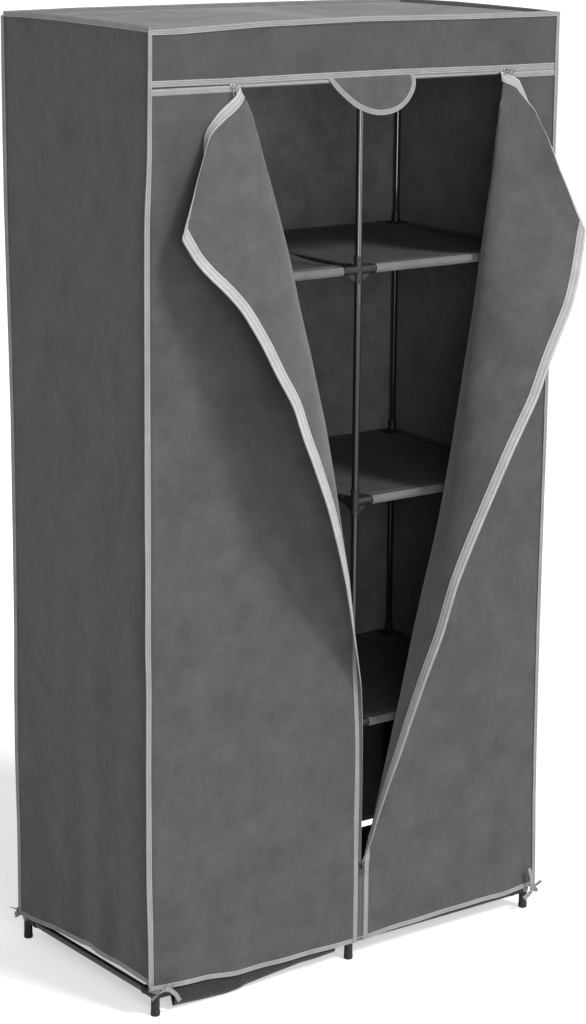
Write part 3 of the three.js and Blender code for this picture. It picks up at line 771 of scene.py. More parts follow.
def strip(rows, across, upper, lower, outwards):
    """A tape along rows of points, from the heights of its two faces. outwards is the (row, direction) that
    its upper face looks in."""
    normals = normals_of(rows)
    if normals[outwards[0], 0] @ np.array(outwards[1], float) < 0:
        normals = -normals
    along = lengths_along(rows[:, len(across) // 2])
    # how high the tape stands at each place across it, which the tape's finish paints as a highlight
    ridge = (np.asarray(upper) - np.min(upper)) / (np.ptp(upper) + 1e-9)
    lay = np.stack(np.broadcast_arrays(along[:, None], across[None, :], ridge ** 2), 2).reshape(-1, 3)
    points, faces = closed_sheet(rows + normals * np.asarray(upper)[:, None],
                                 rows + normals * np.asarray(lower)[:, None])
    return points, faces, np.concatenate([lay, lay])


def tape_piece(name, strips, material):
    """One object of several strips, with where each point lies along and across its tape, and how high it
    stands there, which its finish paints as a highlight.
    """
    made = piece(name, *joined([(points, faces) for points, faces, _ in strips]), material, sharp=50)
    lay = np.concatenate([lay for _, _, lay in strips])
    stored = made.data.attributes.new("lay", "FLOAT_VECTOR", "POINT")
    stored.data.foreach_set("vector", lay.ravel())
    return made


# Across a folded binding 8.5 mm wide: places from its folded edge, and half its thickness there
bound = np.array([-0.9, -0.2, 1.0, 2.2, 4.2, 6.2, 7.3, 8.0, 8.5]) * MM
bound_half = np.array([0.55, 1.0, 1.25, 1.0, 1.05, 1.0, 1.3, 1.2, 0.75]) * MM


def fin(inner, outer, upper_side):
    """A bound seam from its sewn line to its folded edge, with the cloth inside it."""
    inner, outer = np.asarray(inner, float), np.asarray(outer, float)
    share = (bound - bound[0]) / (bound[-1] - bound[0])
    rows = outer[:, None] + (inner - outer)[:, None] * share[None, :, None]
    return strip(rows, bound, bound_half, -bound_half, (0, upper_side))


# How far each corner's fin reaches past the corner: height, folded edge, sewn line (millimetres)
corner_tables = {
    "front_left": [(1710, -3.6, 3.6), (1640, -4.4, 3.4), (1597, -5.2, 2.9), (1501, -6.8, 2),
                   (1430, -11, -0.6), (1402, -12.6, -2.4), (1302, -13.5, -3), (1103, -14, -3),
                   (899, -14.7, -3), (795, -13.8, -3.6), (690, -15, -4), (585, -13.4, -3),
                   (477, -14.5, -4.4), (259, -14.8, -3.8), (148, -12, -1.6), (60, -11, -1)],
    "front_right": [(1710, 1.6, -6), (1692, 1.6, -6), (1637, 2, -6.8), (1595, 2.8, -6.2), (1486, 1.6, -6.4),
                    (1200, 2.4, -6.2), (930, 2, -6.2), (815, 1, -6.6), (700, 0.4, -8), (580, 0.4, -8.4),
                    (463, 0.6, -7.4), (342, 1.8, -6), (220, 3.6, -4.4), (97, 7.6, -0.8), (50, 8, -0.6)],
    "rear": [(1710, 11, 3), (1630, 12, 1.8), (1510, 12.5, 0.6), (1386, 11.8, 0), (1260, 8.5, -2.4),
             (1136, 4.6, -6), (1010, 1.0, -9), (880, 0.8, -9.6), (750, 0.8, -9.8), (620, 1.2, -9),
             (487, 5.3, -5.4), (350, 6, -5), (213, 2.5, -7.4), (74, 3, -6.4), (50, 3, -6.4)],
}
fin_heights = np.linspace(cover_top_z - 1.5 * MM, 0, 150)
fin_gap, fin_wander = 1.3 * MM, 0.5 * MM
corner_ease, top_ease = 18, 14  # millimetres over which the tables' kinks are eased


def seam_cloth(start, end):
    """The covered seam's own cloth, from the corner to a little past the sewn line, inside the fin."""
    rows = start[:, None] + (end - start)[:, None] * np.array([0, 0.5, 1.12])[None, :, None]
    return cloth_sheet(rows, cloth)


def corner_fin(corner, low):
    """The fin, and the strip of cloth from the corner into it, down to the hem's height."""
    front = corner.startswith("front")
    table = corner_tables[corner if front else "rear"]
    heights = np.array([z for z in fin_heights if z > low] + [low])
    reach = np.array([along_table(table, z / MM, corner_ease) for z in heights]) * MM
    folded, sewn = reach[:, 0], reach[:, 1]
    side = -1 if corner.endswith("left") else 1
    proud = fin_gap + np.abs([ripple((side, len(corner), z), 9.0, 3.0) for z in heights]) * fin_wander
    inside = 0.8 * fin_gap
    hidden_edge, hem_line = -1.5 * MM, -0.3 * MM

    def place_at(across, back=0.0):
        across = np.broadcast_to(across, heights.shape)
        if front:
            return np.stack([side_face * side + across, front_face - proud + back, heights], 1)
        return np.stack([side * (side_face + proud - back), rear_face + across, heights], 1)

    way = side if front else 1
    carried = place_at(np.maximum(sewn * way, hem_line) * way, inside)
    return (fin(place_at(sewn), place_at(folded), (0, -1, 0) if front else (side, 0, 0)),
            seam_cloth(place_at(hidden_edge * way, inside), carried))


corner_low = {"front_left": 0.053, "front_right": 0.045, "rear_left": 0.050, "rear_right": 0.050}
corner_fins, corner_cloth = {}, {}
for corner, low in corner_low.items():
    corner_fins[corner], corner_cloth[corner] = corner_fin(corner, low)

# Top fins stand up: place along the edge, sewn line, folded edge (millimetres)
front_top = [(-442, 1700, 1709), (-390, 1699.5, 1709.5), (-215, 1706.5, 1716), (0, 1709.5, 1718.5),
             (240, 1706.5, 1715.5), (420, 1706.5, 1716), (442, 1706, 1714)]
side_top = [(-149, 1704, 1713), (-120, 1705, 1714.5), (-70, 1706, 1716), (30, 1707.5, 1717.3),
            (140, 1709, 1718.6), (240, 1708.8, 1717.4), (304, 1707, 1716)]
rear_top = [(-442, 1707, 1716), (-300, 1708.5, 1718), (0, 1708.8, 1718.2), (300, 1708, 1717.6),
            (442, 1706, 1715)]
# Each top edge: its table, its ends, where its face stands and the way that this looks
across_ends = (-side_face - 1 * MM, side_face + 1 * MM)
along_ends = (front_face - 2 * MM, rear_face + 2 * MM)
top_edges = {"front": (front_top, across_ends, front_face, (0, -1, 0)),
             "rear": (rear_top, across_ends, rear_face, (0, 1, 0)),
             "left": (side_top, along_ends, -side_face, (-1, 0, 0)),
             "right": (side_top, along_ends, side_face, (1, 0, 0))}


def top_fin(table, ends, face, way):
    """A top edge's fin, and the strip of cloth from the top panel up into it."""
    places = np.linspace(*ends, 90)
    heights = np.array([along_table(table, place / MM, top_ease) for place in places]) * MM

    def place_at(height, back=0.0):
        out = np.full(places.shape, face + sum(way) * (fin_gap - back))
        height = np.broadcast_to(height, places.shape)
        return np.stack([out, places, height] if way[0] else [places, out, height], 1)

    sewn = place_at(heights[:, 0])
    base = place_at(cover_top_z - 3.5 * MM, 0.5 * MM)
    return (fin(sewn, place_at(heights[:, 1]), way),
            seam_cloth(base, np.maximum(sewn, base + (0, 0, 0.4 * MM))))


top_fins, top_cloth = {}, {}
for edge, where in top_edges.items():
    top_fins[edge], top_cloth[edge] = top_fin(*where)


def hem_binding(grid, edge, outwards):
    """The folded binding along an edge of a cloth's grid."""
    return strip(beside(grid, edge, bound), bound, bound_half, -bound_half, outwards)


# Ribbon ties: a length of the pale tape sewn into the cover's lower corner and knotted round the foot of
# each corner column, with two cut tails.
tie_tape = tape_finish("tie_ribbon", (0.24, 0.242, 0.246), (0.34, 0.342, 0.346), (0.24, 0.242, 0.246),
                       (-5 * MM, -6 * MM), 0.8)


def smoothed(line, times):
    """A line of points with its kinks eased. Its ends stay."""
    line = line.copy()
    for _ in range(times):
        line[1:-1] = (line[:-2] + 2 * line[1:-1] + line[2:]) / 4
    return line


def ribbon(points, sides, width=8.0, thickness=0.5):
    """A flat tape along points in millimetres; sides point across it."""
    points, sides = np.array(points, float), np.array(sides, float)
    steps = np.arange(len(points))
    turn = np.linspace(0, steps[-1], 10 * steps[-1] + 1)
    line, across = [smoothed(points_at(curve, turn, steps), 12) for curve in (points, sides)]
    half, thin = width / 2, thickness / 2
    lower = [(-half, -thin), (half * 0.2, -thin), (half, -thin)]
    section = lower + [(place, thin) for place, _ in reversed(lower)]
    made, faces = sweep(line, section, across)
    lay = np.array([(length, place[0] + half, 0) for length in lengths_along(line) for place in section])
    return made * MM, faces, lay * MM


def wound(centre, height, radius=9.4, tilt=3.0):
    """Points and sides of a ribbon once round a column, in millimetres."""
    angles = np.linspace(0.3, 0.3 + 2 * math.pi, 26)
    points = np.stack([centre[0] + radius * np.cos(angles), centre[1] + radius * np.sin(angles),
                       height + tilt * np.sin(angles)], 1)
    return points, [(0, 0, 1)] * len(points)


# Each tie beside its corner column: knot, then the ribbons that leave it, in millimetres from the corner
# (towards the middle of the wardrobe, outwards, up), each point with the way across the ribbon there
tie_shapes = {
    "long": ((19, 10.5, 56), [
        [((-11, 7, 62), (0, 0, 1)), ((4, 9, 61), (0, 0, 1)), ((19, 10.5, 57), (0.1, 0, 1))],
        [((19, 11.5, 56), (0, 0, 1)), ((10, 15, 55), (0.2, 0.3, 1)), ((-2, 14, 50), (0.3, 0.9, 0.5)),
         ((-13, 12, 42), (0.2, 1, 0.2))],
        [((19, 11.5, 56), (0, 0, 1)), ((27, 15, 52), (0.5, 0, 0.9)), ((38, 15, 41), (0.8, 0, 0.7)),
         ((47, 12.5, 26), (0.9, 0.1, 0.4))],
        [((19, 11, 58), (0, 0, 1)), ((28, 12.5, 62), (0, 0.3, 1)), ((35, 11, 60), (0, 0.6, 1)),
         ((29, 9.5, 55), (0, 0.3, 1)), ((19, 10.5, 55), (0, 0, 1))]]),
    "short": ((7, 10.5, 47), [
        [((-4, 6, 54), (0, 0, 1)), ((3, 9, 51), (0, 0, 1)), ((7, 10.5, 48), (0.1, 0, 1))],
        [((7, 11.5, 47), (1, 0, 0)), ((10, 14, 58), (1, 0.1, -0.2)), ((13, 14.5, 72), (1, 0.2, -0.3)),
         ((17.5, 12.5, 88), (1, 0.1, -0.3))],
        [((7, 11.5, 47), (0.9, 0, -0.5)), ((12, 14, 41), (0.8, 0.1, -0.6)), ((20, 14, 34), (0.5, 0.2, -0.8)),
         ((28, 12, 28), (0.5, 0.1, -0.8))],
        [((7, 11, 46), (0, 0, 1)), ((0, 14, 43), (0.2, 0.4, 1)), ((-2, 13.5, 38), (0.3, 0.6, 1)),
         ((3, 11.5, 41), (0.3, 0.3, 1)), ((7, 10.5, 45), (0, 0, 1))],
        [((7, 11.5, 47), (0.2, 1, 0.3)), ((0, 15, 51), (0.3, 1, 0)), ((-12, 15.5, 57), (0.2, 1, -0.2))]]),
}
# The knot is a short fold of ribbon wrapped over the others
knot_fold = np.array([(-4.5, 0, -1), (-2.5, 4.2, 0), (2.4, 4.4, 0.6), (4.8, 0.4, 0), (2.4, -1.6, -0.6),
                      (-2.6, -1.6, -0.8)])
ties = {}
for corner in corner_low:
    row, column = corner.split("_")
    way = 1 if column == "left" else -1
    out = -1 if row == "front" else 1
    shape = "long" if corner == "front_left" else "short"
    corner_at = np.array((-side_face / MM * way, (front_face if out < 0 else rear_face) / MM, 0))
    turned_to = np.array((way, out, 1))
    knot, runs = tie_shapes[shape]
    ribbons = [ribbon(*wound((columns[column] / MM, rows_y[row] / MM), knot[2] - 6), width=7.0)]
    for run in runs:
        ribbons.append(ribbon([corner_at + np.array(point) * turned_to for point, _ in run],
                              [np.array(side) * turned_to for _, side in run]))
    ribbons.append(ribbon(corner_at + (knot_fold + knot) * turned_to, [(0.15, 0, 1)] * len(knot_fold),
                          width=8.5, thickness=1.0))
    ties[corner] = tape_piece(f"ribbon_tie_{corner}", ribbons, tie_tape)
    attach(ties[corner], "wardrobe")


# Finished panels: each gets its bindings and the cloth of their seams. The top tubes that each hangs
# from or lies over are listed here.
sewn_on = {}
for side, way in (("left", (-1, 0, 0)), ("right", (1, 0, 0))):
    sewn_on[side] = ([corner_fins["front_" + side], corner_fins["rear_" + side], top_fins[side],
                      hem_binding(panel_grids[side], "first", (0, way))],
                     [corner_cloth["front_" + side], corner_cloth["rear_" + side], top_cloth[side]])
sewn_on["back"] = ([hem_binding(panel_grids["back"], "first", (0, (0, 1, 0)))], [])
sewn_on["top"] = ([top_fins["front"], top_fins["rear"]], [top_cloth["front"], top_cloth["rear"]])
hung_from = {"left": ["steel_depth_tube_left_top"], "right": ["steel_depth_tube_right_top"],
             "back": ["steel_tube_rear_left_top", "steel_tube_rear_right_top"],
             "top": [f"steel_depth_tube_{column}_top" for column in columns]}
for side, (tapes, cloths) in sewn_on.items():
    extras = [tape_piece(f"{side}_panel_binding", tapes, binding_tape)]
    if cloths:
        extras.append(piece(f"{side}_panel_seams", *joined(cloths), cover_grey))
    for extra in extras:
        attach(extra, "wardrobe")
    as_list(hung_from[side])


# Valance: a band of the cover's cloth across the front over the zips, sewn to the top and side panels. Its
# lower edge is bound, and carries one half of the doors' zips, which hangs free where they are open.
zip_height = cover_top_z - 97 * MM
zip_x = 18 * MM
zip_low = 183 * MM
slider_left, slider_right = -276 * MM, 318 * MM
free_length = 22 * MM  # over which the tape comes free beside a slider
tape_width, tape_overlap = 8 * MM, 4 * MM
tape_closed, tape_drop = 1616.4 * MM, 7.4 * MM  # height of the tape's edge, and how far it hangs when free
teeth_closed, teeth_drop = 1615.2 * MM, 6.4 * MM
# place along X, folded edge of the binding (millimetres)
valance_edge = [(-440, 1617.2), (-260, 1615.8), (-180, 1616.6), (60, 1616.8), (200, 1615.4), (300, 1614.2),
                (440, 1614)]
valance_ease, valance_creases, valance_lift = 40, 0.7, 0.3 * MM
tape_depth, tape_curl = 1.75 * MM, 0.9 * MM  # how far it lies behind the front, and curls forwards when free
binding_spread = 1.1  # the binding is wider here than on the corners, as it holds the zip as well


def valance_low(x):
    """Height of the binding's folded edge."""
    return along_table(valance_edge, x / MM, valance_ease)[0] * MM


def valance_point(u, v):
    x = panel_edge * (2 * u - 1)
    low = valance_low(x) + 0.6 * MM
    z = low + (panel_top - low) * v
    out = wrinkle((x, -4.0, z), away_from_seams(u, 0.5), valance_creases) * math.sin(math.pi * v)
    return (x, front_face + cloth / 2 - max(out + valance_lift, -0.2 * MM), z)


valance_grid = panel_grid(110, 14, valance_point)
valance = piece("valance_band", *cloth_sheet(valance_grid, cloth), cover_grey)
paint_light_by_facing(valance, (0, 1, 0), inside_grey)
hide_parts("valance")
wide_binding = strip(beside(valance_grid, "first", bound * binding_spread), bound, bound_half, -bound_half,
                     (0, (0, -1, 0)))
zip_tape = tape_finish("zip_tape", (0.20, 0.202, 0.205), (0.27, 0.272, 0.275), (0.12, 0.12, 0.122),
                       (4.2 * MM, 12.8 * MM), 0.6)
# the valance's zip teeth are painted dark: painted shade, for the recess between the bindings
zip_coil_painted_shade = cloth_finish("zip_coil_painted_shade", (0.04, 0.04, 0.042), (0.075, 0.075, 0.077), 60.0, 0.1, 0.2)
valance_binding = tape_piece("valance_binding", [wide_binding], binding_tape)


def open_share(x):
    """0 where the valance's zip is closed, 1 where it hangs open between the sliders."""
    return float(np.clip(min(x - slider_left, slider_right - x) / free_length, 0, 1))


def ease(share):
    """A share from 0 to 1 that starts and ends gently."""
    return share * share * (3 - 2 * share)


zip_line = np.linspace(-panel_edge, panel_edge, 160)
hang = ease(np.array([open_share(x) for x in zip_line]))
tape_low = tape_closed - tape_drop * hang
tape_high = np.array([valance_low(x) for x in zip_line]) + tape_overlap
across_tape = np.linspace(0, 1, 5)
rows = np.stack(np.broadcast_arrays(
    zip_line[:, None], front_face + tape_depth - tape_curl * hang[:, None] * (1 - across_tape)[None, :] ** 2,
    tape_low[:, None] + (tape_high - tape_low)[:, None] * across_tape[None, :]), 2)
half_tape = strip(rows, across_tape * tape_width, np.array([0.3, 0.45, 0.45, 0.45, 0.4]) * MM,
                  np.full(5, -0.35 * MM), (0, (0, -1, 0)))
valance_tape = tape_piece("valance_zip_tape", [half_tape], zip_tape)
tooth_pitch, coil_radius, tooth_waist = 2.6 * MM, 1.1 * MM, 0.62


def coil(path, side, shift=0.0):
    """The row of moulded teeth along a zip's edge: a bead for each tooth."""
    places = np.arange(0, lengths_along(path)[-1], tooth_pitch / 4)
    line = points_at(path, places)
    swell = tooth_waist + (1 - tooth_waist) * np.abs(np.sin(math.pi * (places / tooth_pitch + shift)))
    section = np.array(circle(coil_radius, 6))[None] * swell[:, None, None]
    return sweep(line, section, np.broadcast_to(side, line.shape))


teeth_line = rows[:, 0].copy()
teeth_line[:, 2] = teeth_closed - teeth_drop * hang
valance_coil = piece("valance_zip_teeth", *coil(teeth_line - (0, 0.3 * MM, 0), (0, 1, 0)), zip_coil_painted_shade)
for part in (valance, valance_binding, valance_tape, valance_coil):
    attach(part, "wardrobe")


# Doors: each is one panel of the cover's cloth, bound and zipped along its top and its free edge. It hangs
# flat from its outer seam, then rolls over in front of itself along a slanting fold, down to the closed zip.

# Rows of a door from the zip down: height and place across where the roll starts, then the free edge
# (across, out, up), the direction the cloth heads there, how far the roll's start and end carry on, and how
# much of its drop the roll has left there. Millimetres and degrees.
left_rows = [
    (1612.8, -270, -411, 52, 1373, 170, -4, 42, 0.52), (1600, -262, -406, 56, 1362, 172, 12, 50, 0.45),
    (1588, -256, -402, 59, 1352, 174, 32, 57, 0.40), (1572, -251, -396, 62, 1341, 175, 54, 61, 0.35),
    (1537, -244, -377, 71, 1316, 182, 63, 70, 0.35), (1492, -235, -349, 82, 1288, 188, 67, 74, 0.35),
    (1442, -225, -321, 93, 1254, 190, 69, 76, 0.35), (1373, -214, -292, 108, 1198, 190, 72, 80, 0.35),
    (1302, -207, -266, 119, 1140, 188, 71, 79, 0.35), (1241, -202, -238, 125, 1091, 185, 68, 76, 0.35),
    (1179, -198, -220, 127, 1037, 182, 71, 79, 0.35), (1123, -194, -198, 126, 990, 180, 70, 78, 0.35),
    (1021, -186, -158, 117, 906, 172, 61, 68, 0.35), (930, -172, -124, 102, 831, 164, 51, 57, 0.35),
    (831, -146, -86, 78, 752, 152, 49, 54, 0.35), (735, -110, -52, 52, 675, 138, 41, 46, 0.35),
    (667, -83, -29, 34, 619, 127, 36, 40, 0.35), (618, -64, -12, 22, 579, 100, 30, 33, 0.35),
    (564, -49, 3, 12, 533, 65, 24, 20, 0.35), (500, -32, 12, 5, 474, 35, 20, 16, 0.35),
    (447, -20, 15, 3, 426, 20, 16, 12, 0.35), (342, 0, 17, 1, 329, 8, 8, 6, 0.35),
    (236, 4, 17.5, 0, 232, 0, 5, 4, 0.35), (183, 5, 17.8, 0, 183, 0, 4, 4, 0.35),
]
right_rows = [
    (1612.8, -306, -432, 98, 1331, 156, -40, 68, 0.53), (1600, -313, -430, 100, 1323, 145, -5, 70, 0.45),
    (1582, -319, -424, 104, 1306, 132, 48, 76, 0.38), (1522, -320, -404, 118, 1259, 124, 75, 83, 0.35),
    (1454, -314, -377, 131, 1207, 122, 75, 83, 0.35), (1384, -306, -340, 143, 1158, 121, 79, 88, 0.35),
    (1331, -300, -313, 150, 1120, 120, 79, 88, 0.35), (1240, -291, -275, 158, 1050, 118, 80, 89, 0.35),
    (1128, -279, -218, 164, 968, 116, 82, 91, 0.35), (1004, -267, -166, 162, 871, 113, 79, 88, 0.35),
    (905, -254, -131, 154, 791, 111, 73, 81, 0.35), (831, -241, -110, 145, 730, 108, 70, 78, 0.35),
    (725, -214, -95, 128, 639, 104, 71, 79, 0.35), (633, -183, -78, 108, 562, 99, 60, 67, 0.35),
    (536, -149, -66, 84, 480, 94, 47, 52, 0.35), (454, -119, -57, 64, 410, 88, 38, 42, 0.35),
    (390, -97, -48, 48, 357, 78, 31, 35, 0.35), (311, -69, -37, 30, 290, 62, 22, 24, 0.35),
    (231, -38, -28, 13, 222, 35, 8, 12, 0.35), (187, -24, -18.2, 2, 185, 5, 4, 4, 0.35),
    (183, -23.5, -18.2, 0, 183, 0, 4, 4, 0.35),
]
flat_steps, roll_steps, curve_steps = 46, 34, 80
row_pitch = 9.5 * MM
hem_rows = 14  # from the zip's lower end down to the hem
row_weights = np.array([1, 3, 5, 6, 5, 3, 1], float)  # each row is eased with its neighbours
# Height of the hem from the outer seam to the zip (share, millimetres)
door_hems = {
    "left": [(0, 53), (0.07, 50), (0.235, 46), (0.385, 39), (0.535, 37.5), (0.74, 36), (0.94, 34), (1, 34)],
    "right": [(0, 45), (0.06, 44.5), (0.17, 41), (0.39, 42), (0.61, 40), (0.83, 38), (1, 34)],
}
# The zip's edge of the roll wanders: point along the roll, sideways and upwards (millimetres)
edge_drift = {
    "left": [(0, 9, 0), (1, 11.5, 0), (2, 12, 0), (3, 11, 0), (4, 8.5, 0), (5, 5.4, 0), (6, 2, 0), (7, -1, 0),
             (8, -3, 0), (9, -5, 0), (10, -6.5, 0), (11, -7, 0), (14, -6, 0), (16, -4.5, 0), (18, -3.5, 0),
             (20, -2.8, 0), (23, -1.4, 0), (26, 0, 0)],
    "right": [(0, 0, 0), (2, 0, 3), (3, -4, 6), (4, -10, 7), (5, -9, 6.5), (6, -8.4, 6), (8, -6.8, 4),
              (10, -5.6, 2.6), (12, -4.6, 2), (14, -4, 1.5), (18, -2.8, 1), (22, 0, 0)],
}
drift_rows, drift_fade = 10, 4
# ... and its last millimetres, stiff with tape, turn outwards: point along the roll, degrees
edge_turn = {
    "left": [(0, 0), (3, 0), (6, 40), (9, 66), (12, 92), (15, 125), (18, 150), (34, 150)],
    "right": [(0, 0), (4, 20), (6, 45), (8, 70), (10, 90), (14, 140), (18, 150), (34, 150)],
}
edge_depth, edge_steps, edge_row = 30 * MM, 16, 3  # the part that is made finer, down to this row
stiff_width, bend_length = 19 * MM, 5 * MM
tuck_points, tuck_depth = 6, 8 * MM
flat_fade, edge_fade = 8, 4  # points over which the flat part's folds end, and the creases at the edges
door_creases, calm_depth = 0.55, 30 * MM  # how deep its creases are, and how far down the zip calms them


def door_rows(stations):
    """The stations filled in to close rows and eased, as arrays in metres and radians."""
    table = np.array(stations, float)
    table[:, [0, 1, 2, 3, 4, 6, 7]] *= MM
    table[:, 5] = np.radians(table[:, 5])
    heights = np.append(np.arange(table[0, 0], zip_low, -row_pitch), zip_low)
    filled = np.stack([np.interp(-heights, -table[:, 0], column) for column in table.T], 1)
    reach = len(row_weights) // 2
    eased = filled.copy()
    for row in range(1, len(filled) - 1):
        width = min(reach, row, len(filled) - 1 - row)
        window = row_weights[reach - width:reach + width + 1]
        eased[row] = (filled[row - width:row + width + 1] * window[:, None]).sum(0) / window.sum()
    eased[:, 0] = heights
    return eased


def spaced(curve, count):
    """Points at even distances along a curve."""
    lengths = lengths_along(curve)
    return points_at(curve, np.linspace(0, lengths[-1], count), lengths)


def turned_back(grid, turns):
    """The grid with its first rows set closer and turned towards the door's outer face."""
    side_on = normals_of(grid)[edge_row]
    steps = np.linspace(edge_depth, 0, edge_steps)
    run = np.concatenate([[0], -np.diff(steps)])
    bend = ease(np.clip((stiff_width - steps) / bend_length, 0, 1))
    last = grid.shape[1] - 1
    fine = []
    for k in range(last + 1):
        angle = math.radians(np.interp(k - flat_steps, *np.array(turns, float).T)) * bend
        down = grid[edge_row, k] - grid[0, k]
        down /= np.linalg.norm(down)
        way_down = edge_depth - np.cumsum(run * np.cos(angle))
        way_down -= way_down.min()
        way_out = np.cumsum(run * np.sin(angle))
        # at the door's corner the turned edge is tucked in, behind the free edge
        tuck = max(0, tuck_points + k - last) / tuck_points * tuck_depth * np.sin(angle / 2)
        inward = grid[edge_row, k - tuck_points] - grid[edge_row, k] if k > tuck_points else np.zeros(3)
        inward /= max(np.linalg.norm(inward), 1e-9)
        fine.append(grid[0, k] + way_down[:, None] * down + way_out[:, None] * side_on[k]
                    + tuck[:, None] * inward)
    fine = np.array(fine).transpose(1, 0, 2)[::-1]
    below = grid[edge_row + 1:]
    between = [fine[-1] + (below[0] - fine[-1]) * share for share in (1 / 3, 2 / 3)]
    return np.concatenate([fine, between, below])


def door_grid(side, stations, sign):
    """Middle points of a door, from its zip down and from its outer seam to its free edge."""
    outer = -panel_edge
    phase = 1 if side == "left" else 2
    share = np.linspace(0, 1, curve_steps)[:, None]
    rows = []
    for height, start, x, out, z, heading, carry_start, carry_end, hang in door_rows(stations):
        corners = np.array([
            (start, 0, height), (start + carry_start, 0, height),
            (x - carry_end * math.cos(heading), out - carry_end * math.sin(heading), z + (height - z) * hang),
            (x, out, z)])
        roll_curve = ((1 - share) ** 3 * corners[0] + 3 * share * (1 - share) ** 2 * corners[1]
                      + 3 * share ** 2 * (1 - share) * corners[2] + share ** 3 * corners[3])
        flat = [(outer + (start - outer) * k / flat_steps, 0, height) for k in range(flat_steps)]
        rows.append(np.concatenate([flat, spaced(roll_curve, roll_steps + 1)]))
    last = rows[-1]
    across = (last[:, 0] - outer) / (last[-1, 0] - outer)
    hems = np.array([along_table(door_hems[side], place, hem_ease)[0] for place in across]) * MM
    for k in range(1, hem_rows + 1):
        rows.append(np.column_stack([last[:, :2], zip_low + (hems - zip_low) * k / hem_rows]))
    grid = np.array(rows)
    drift = np.array(edge_drift[side], float).T
    for j in range(drift_rows):
        fading = math.exp(-(j / drift_fade) ** 2) * MM
        for axis, shift in ((0, drift[1]), (2, drift[2])):
            grid[j, flat_steps:, axis] += fading * np.interp(np.arange(roll_steps + 1), drift[0], shift)
    for row in grid:
        for k, point in enumerate(row):
            across = (point[0] - outer) / (zip_x - outer)
            up = max(0.0, (point[2] - hem_height) / (zip_height - hem_height))
            flatness = 1.0 if k < flat_steps else max(0.0, 1 - (k - flat_steps) / flat_fade)
            free = min(1.0, k / edge_fade) * min(1.0, (flat_steps + roll_steps - k) / edge_fade + 0.15)
            free *= min(1.0, (zip_height - point[2]) / calm_depth)
            crease = wrinkle((sign * (point[0] + 2), point[1], point[2]), free, door_creases)
            point[1] += fold_at(min(max(across, 0), 1), up, phase) * flatness
            point[1] += abs(crease) if k < flat_steps and point[1] + crease < 0 else crease
    grid = turned_back(grid, edge_turn[side])
    return np.stack([grid[..., 0] * sign, front_face + cloth / 2 - grid[..., 1], grid[..., 2]], -1)


# the doors' outer cloth is a little lighter than the sides' cover cloth, and the copy for their inner face,
# seen on the rolled flaps and the tab, lighter still: painted light
door_outside = cloth_finish("door_cloth", (0.050, 0.0505, 0.052), (0.072, 0.0726, 0.0745), 8.0, 0.9)
door_inside_painted_light = cloth_finish("door_inner_face_painted_light", (0.060, 0.0605, 0.062), (0.086, 0.0865, 0.0885), 8.0, 0.9)
top_shift = {"left": 7 * MM, "right": 5.6 * MM}  # how much nearer its edge the binding lies along the top
tape_rise = 0.35 * MM  # of the tapes down the free edge over those along the top
# Across the tapes beside a door's free edge: places from the edge, and height over the cloth's middle. The
# inner tape is broad and pale, with a ridge at both borders; outside lie the zip's tape and the binding.
inner_across = np.array([-0.6, 0.2, 1.2, 2.6, 3.8, 4.6, 5.4, 9, 12.4, 13.2, 14, 15.2, 16.4, 17]) * MM
inner_height = np.array([0.7, 1, 1.75, 1.8, 1.5, 1.15, 1.35, 1.4, 1.35, 1.1, 1.35, 1.65, 1.55, 1]) * MM
outer_across = np.array([6.8, 7.3, 8.3, 9.5, 12, 14.5, 15.7, 16.7, 17.2]) * MM
outer_height = np.array([0.9, 1.7, 1.85, 1.55, 1.5, 1.55, 1.8, 1.6, 0.9]) * MM
zip_across = np.array([-0.6, 0.4, 3, 6, 7.6]) * MM
zip_rise = np.array([0.75, 1.05, 1.1, 1.05, 0.75]) * MM
sunk = 0.5 * MM  # the tapes' undersides, inside the cloth
pale_tape = tape_finish("pale_inner_tape", (0.25, 0.252, 0.256), (0.50, 0.502, 0.506), (0.15, 0.15, 0.153),
                        (4.6 * MM, 13.2 * MM), 0.6)
outer_tape = tape_finish("zip_side_binding", (0.15, 0.151, 0.154), (0.36, 0.362, 0.366), (0.10, 0.10, 0.102),
                         (8.7 * MM, 15.6 * MM))
# the doors' zip tape is painted much darker than the valance's: painted shade, for the recess between the
# bindings where the zip is closed
painted_shade_tape = tape_finish("door_zip_tape", (0.055, 0.0555, 0.057), (0.085, 0.0855, 0.088), (0.04, 0.04, 0.042),
                        (2.4 * MM, 5.4 * MM), 0.6)
pale_coil = cloth_finish("pale_zip_teeth", (0.26, 0.262, 0.266), (0.38, 0.382, 0.386), 60.0, 0.1, 0.2)


def edge_strip(grid, edge, across, height, outer, rise=0.0):
    """A tape laid on a door's outer or inner face beside its free edge or its top one."""
    row = -1 if edge == "end" else 0
    return strip(beside(grid, edge, across), across, height + rise, np.full(len(across), sunk + rise * 0.9),
                 (row, (0, -1 if outer else 1, 0)))


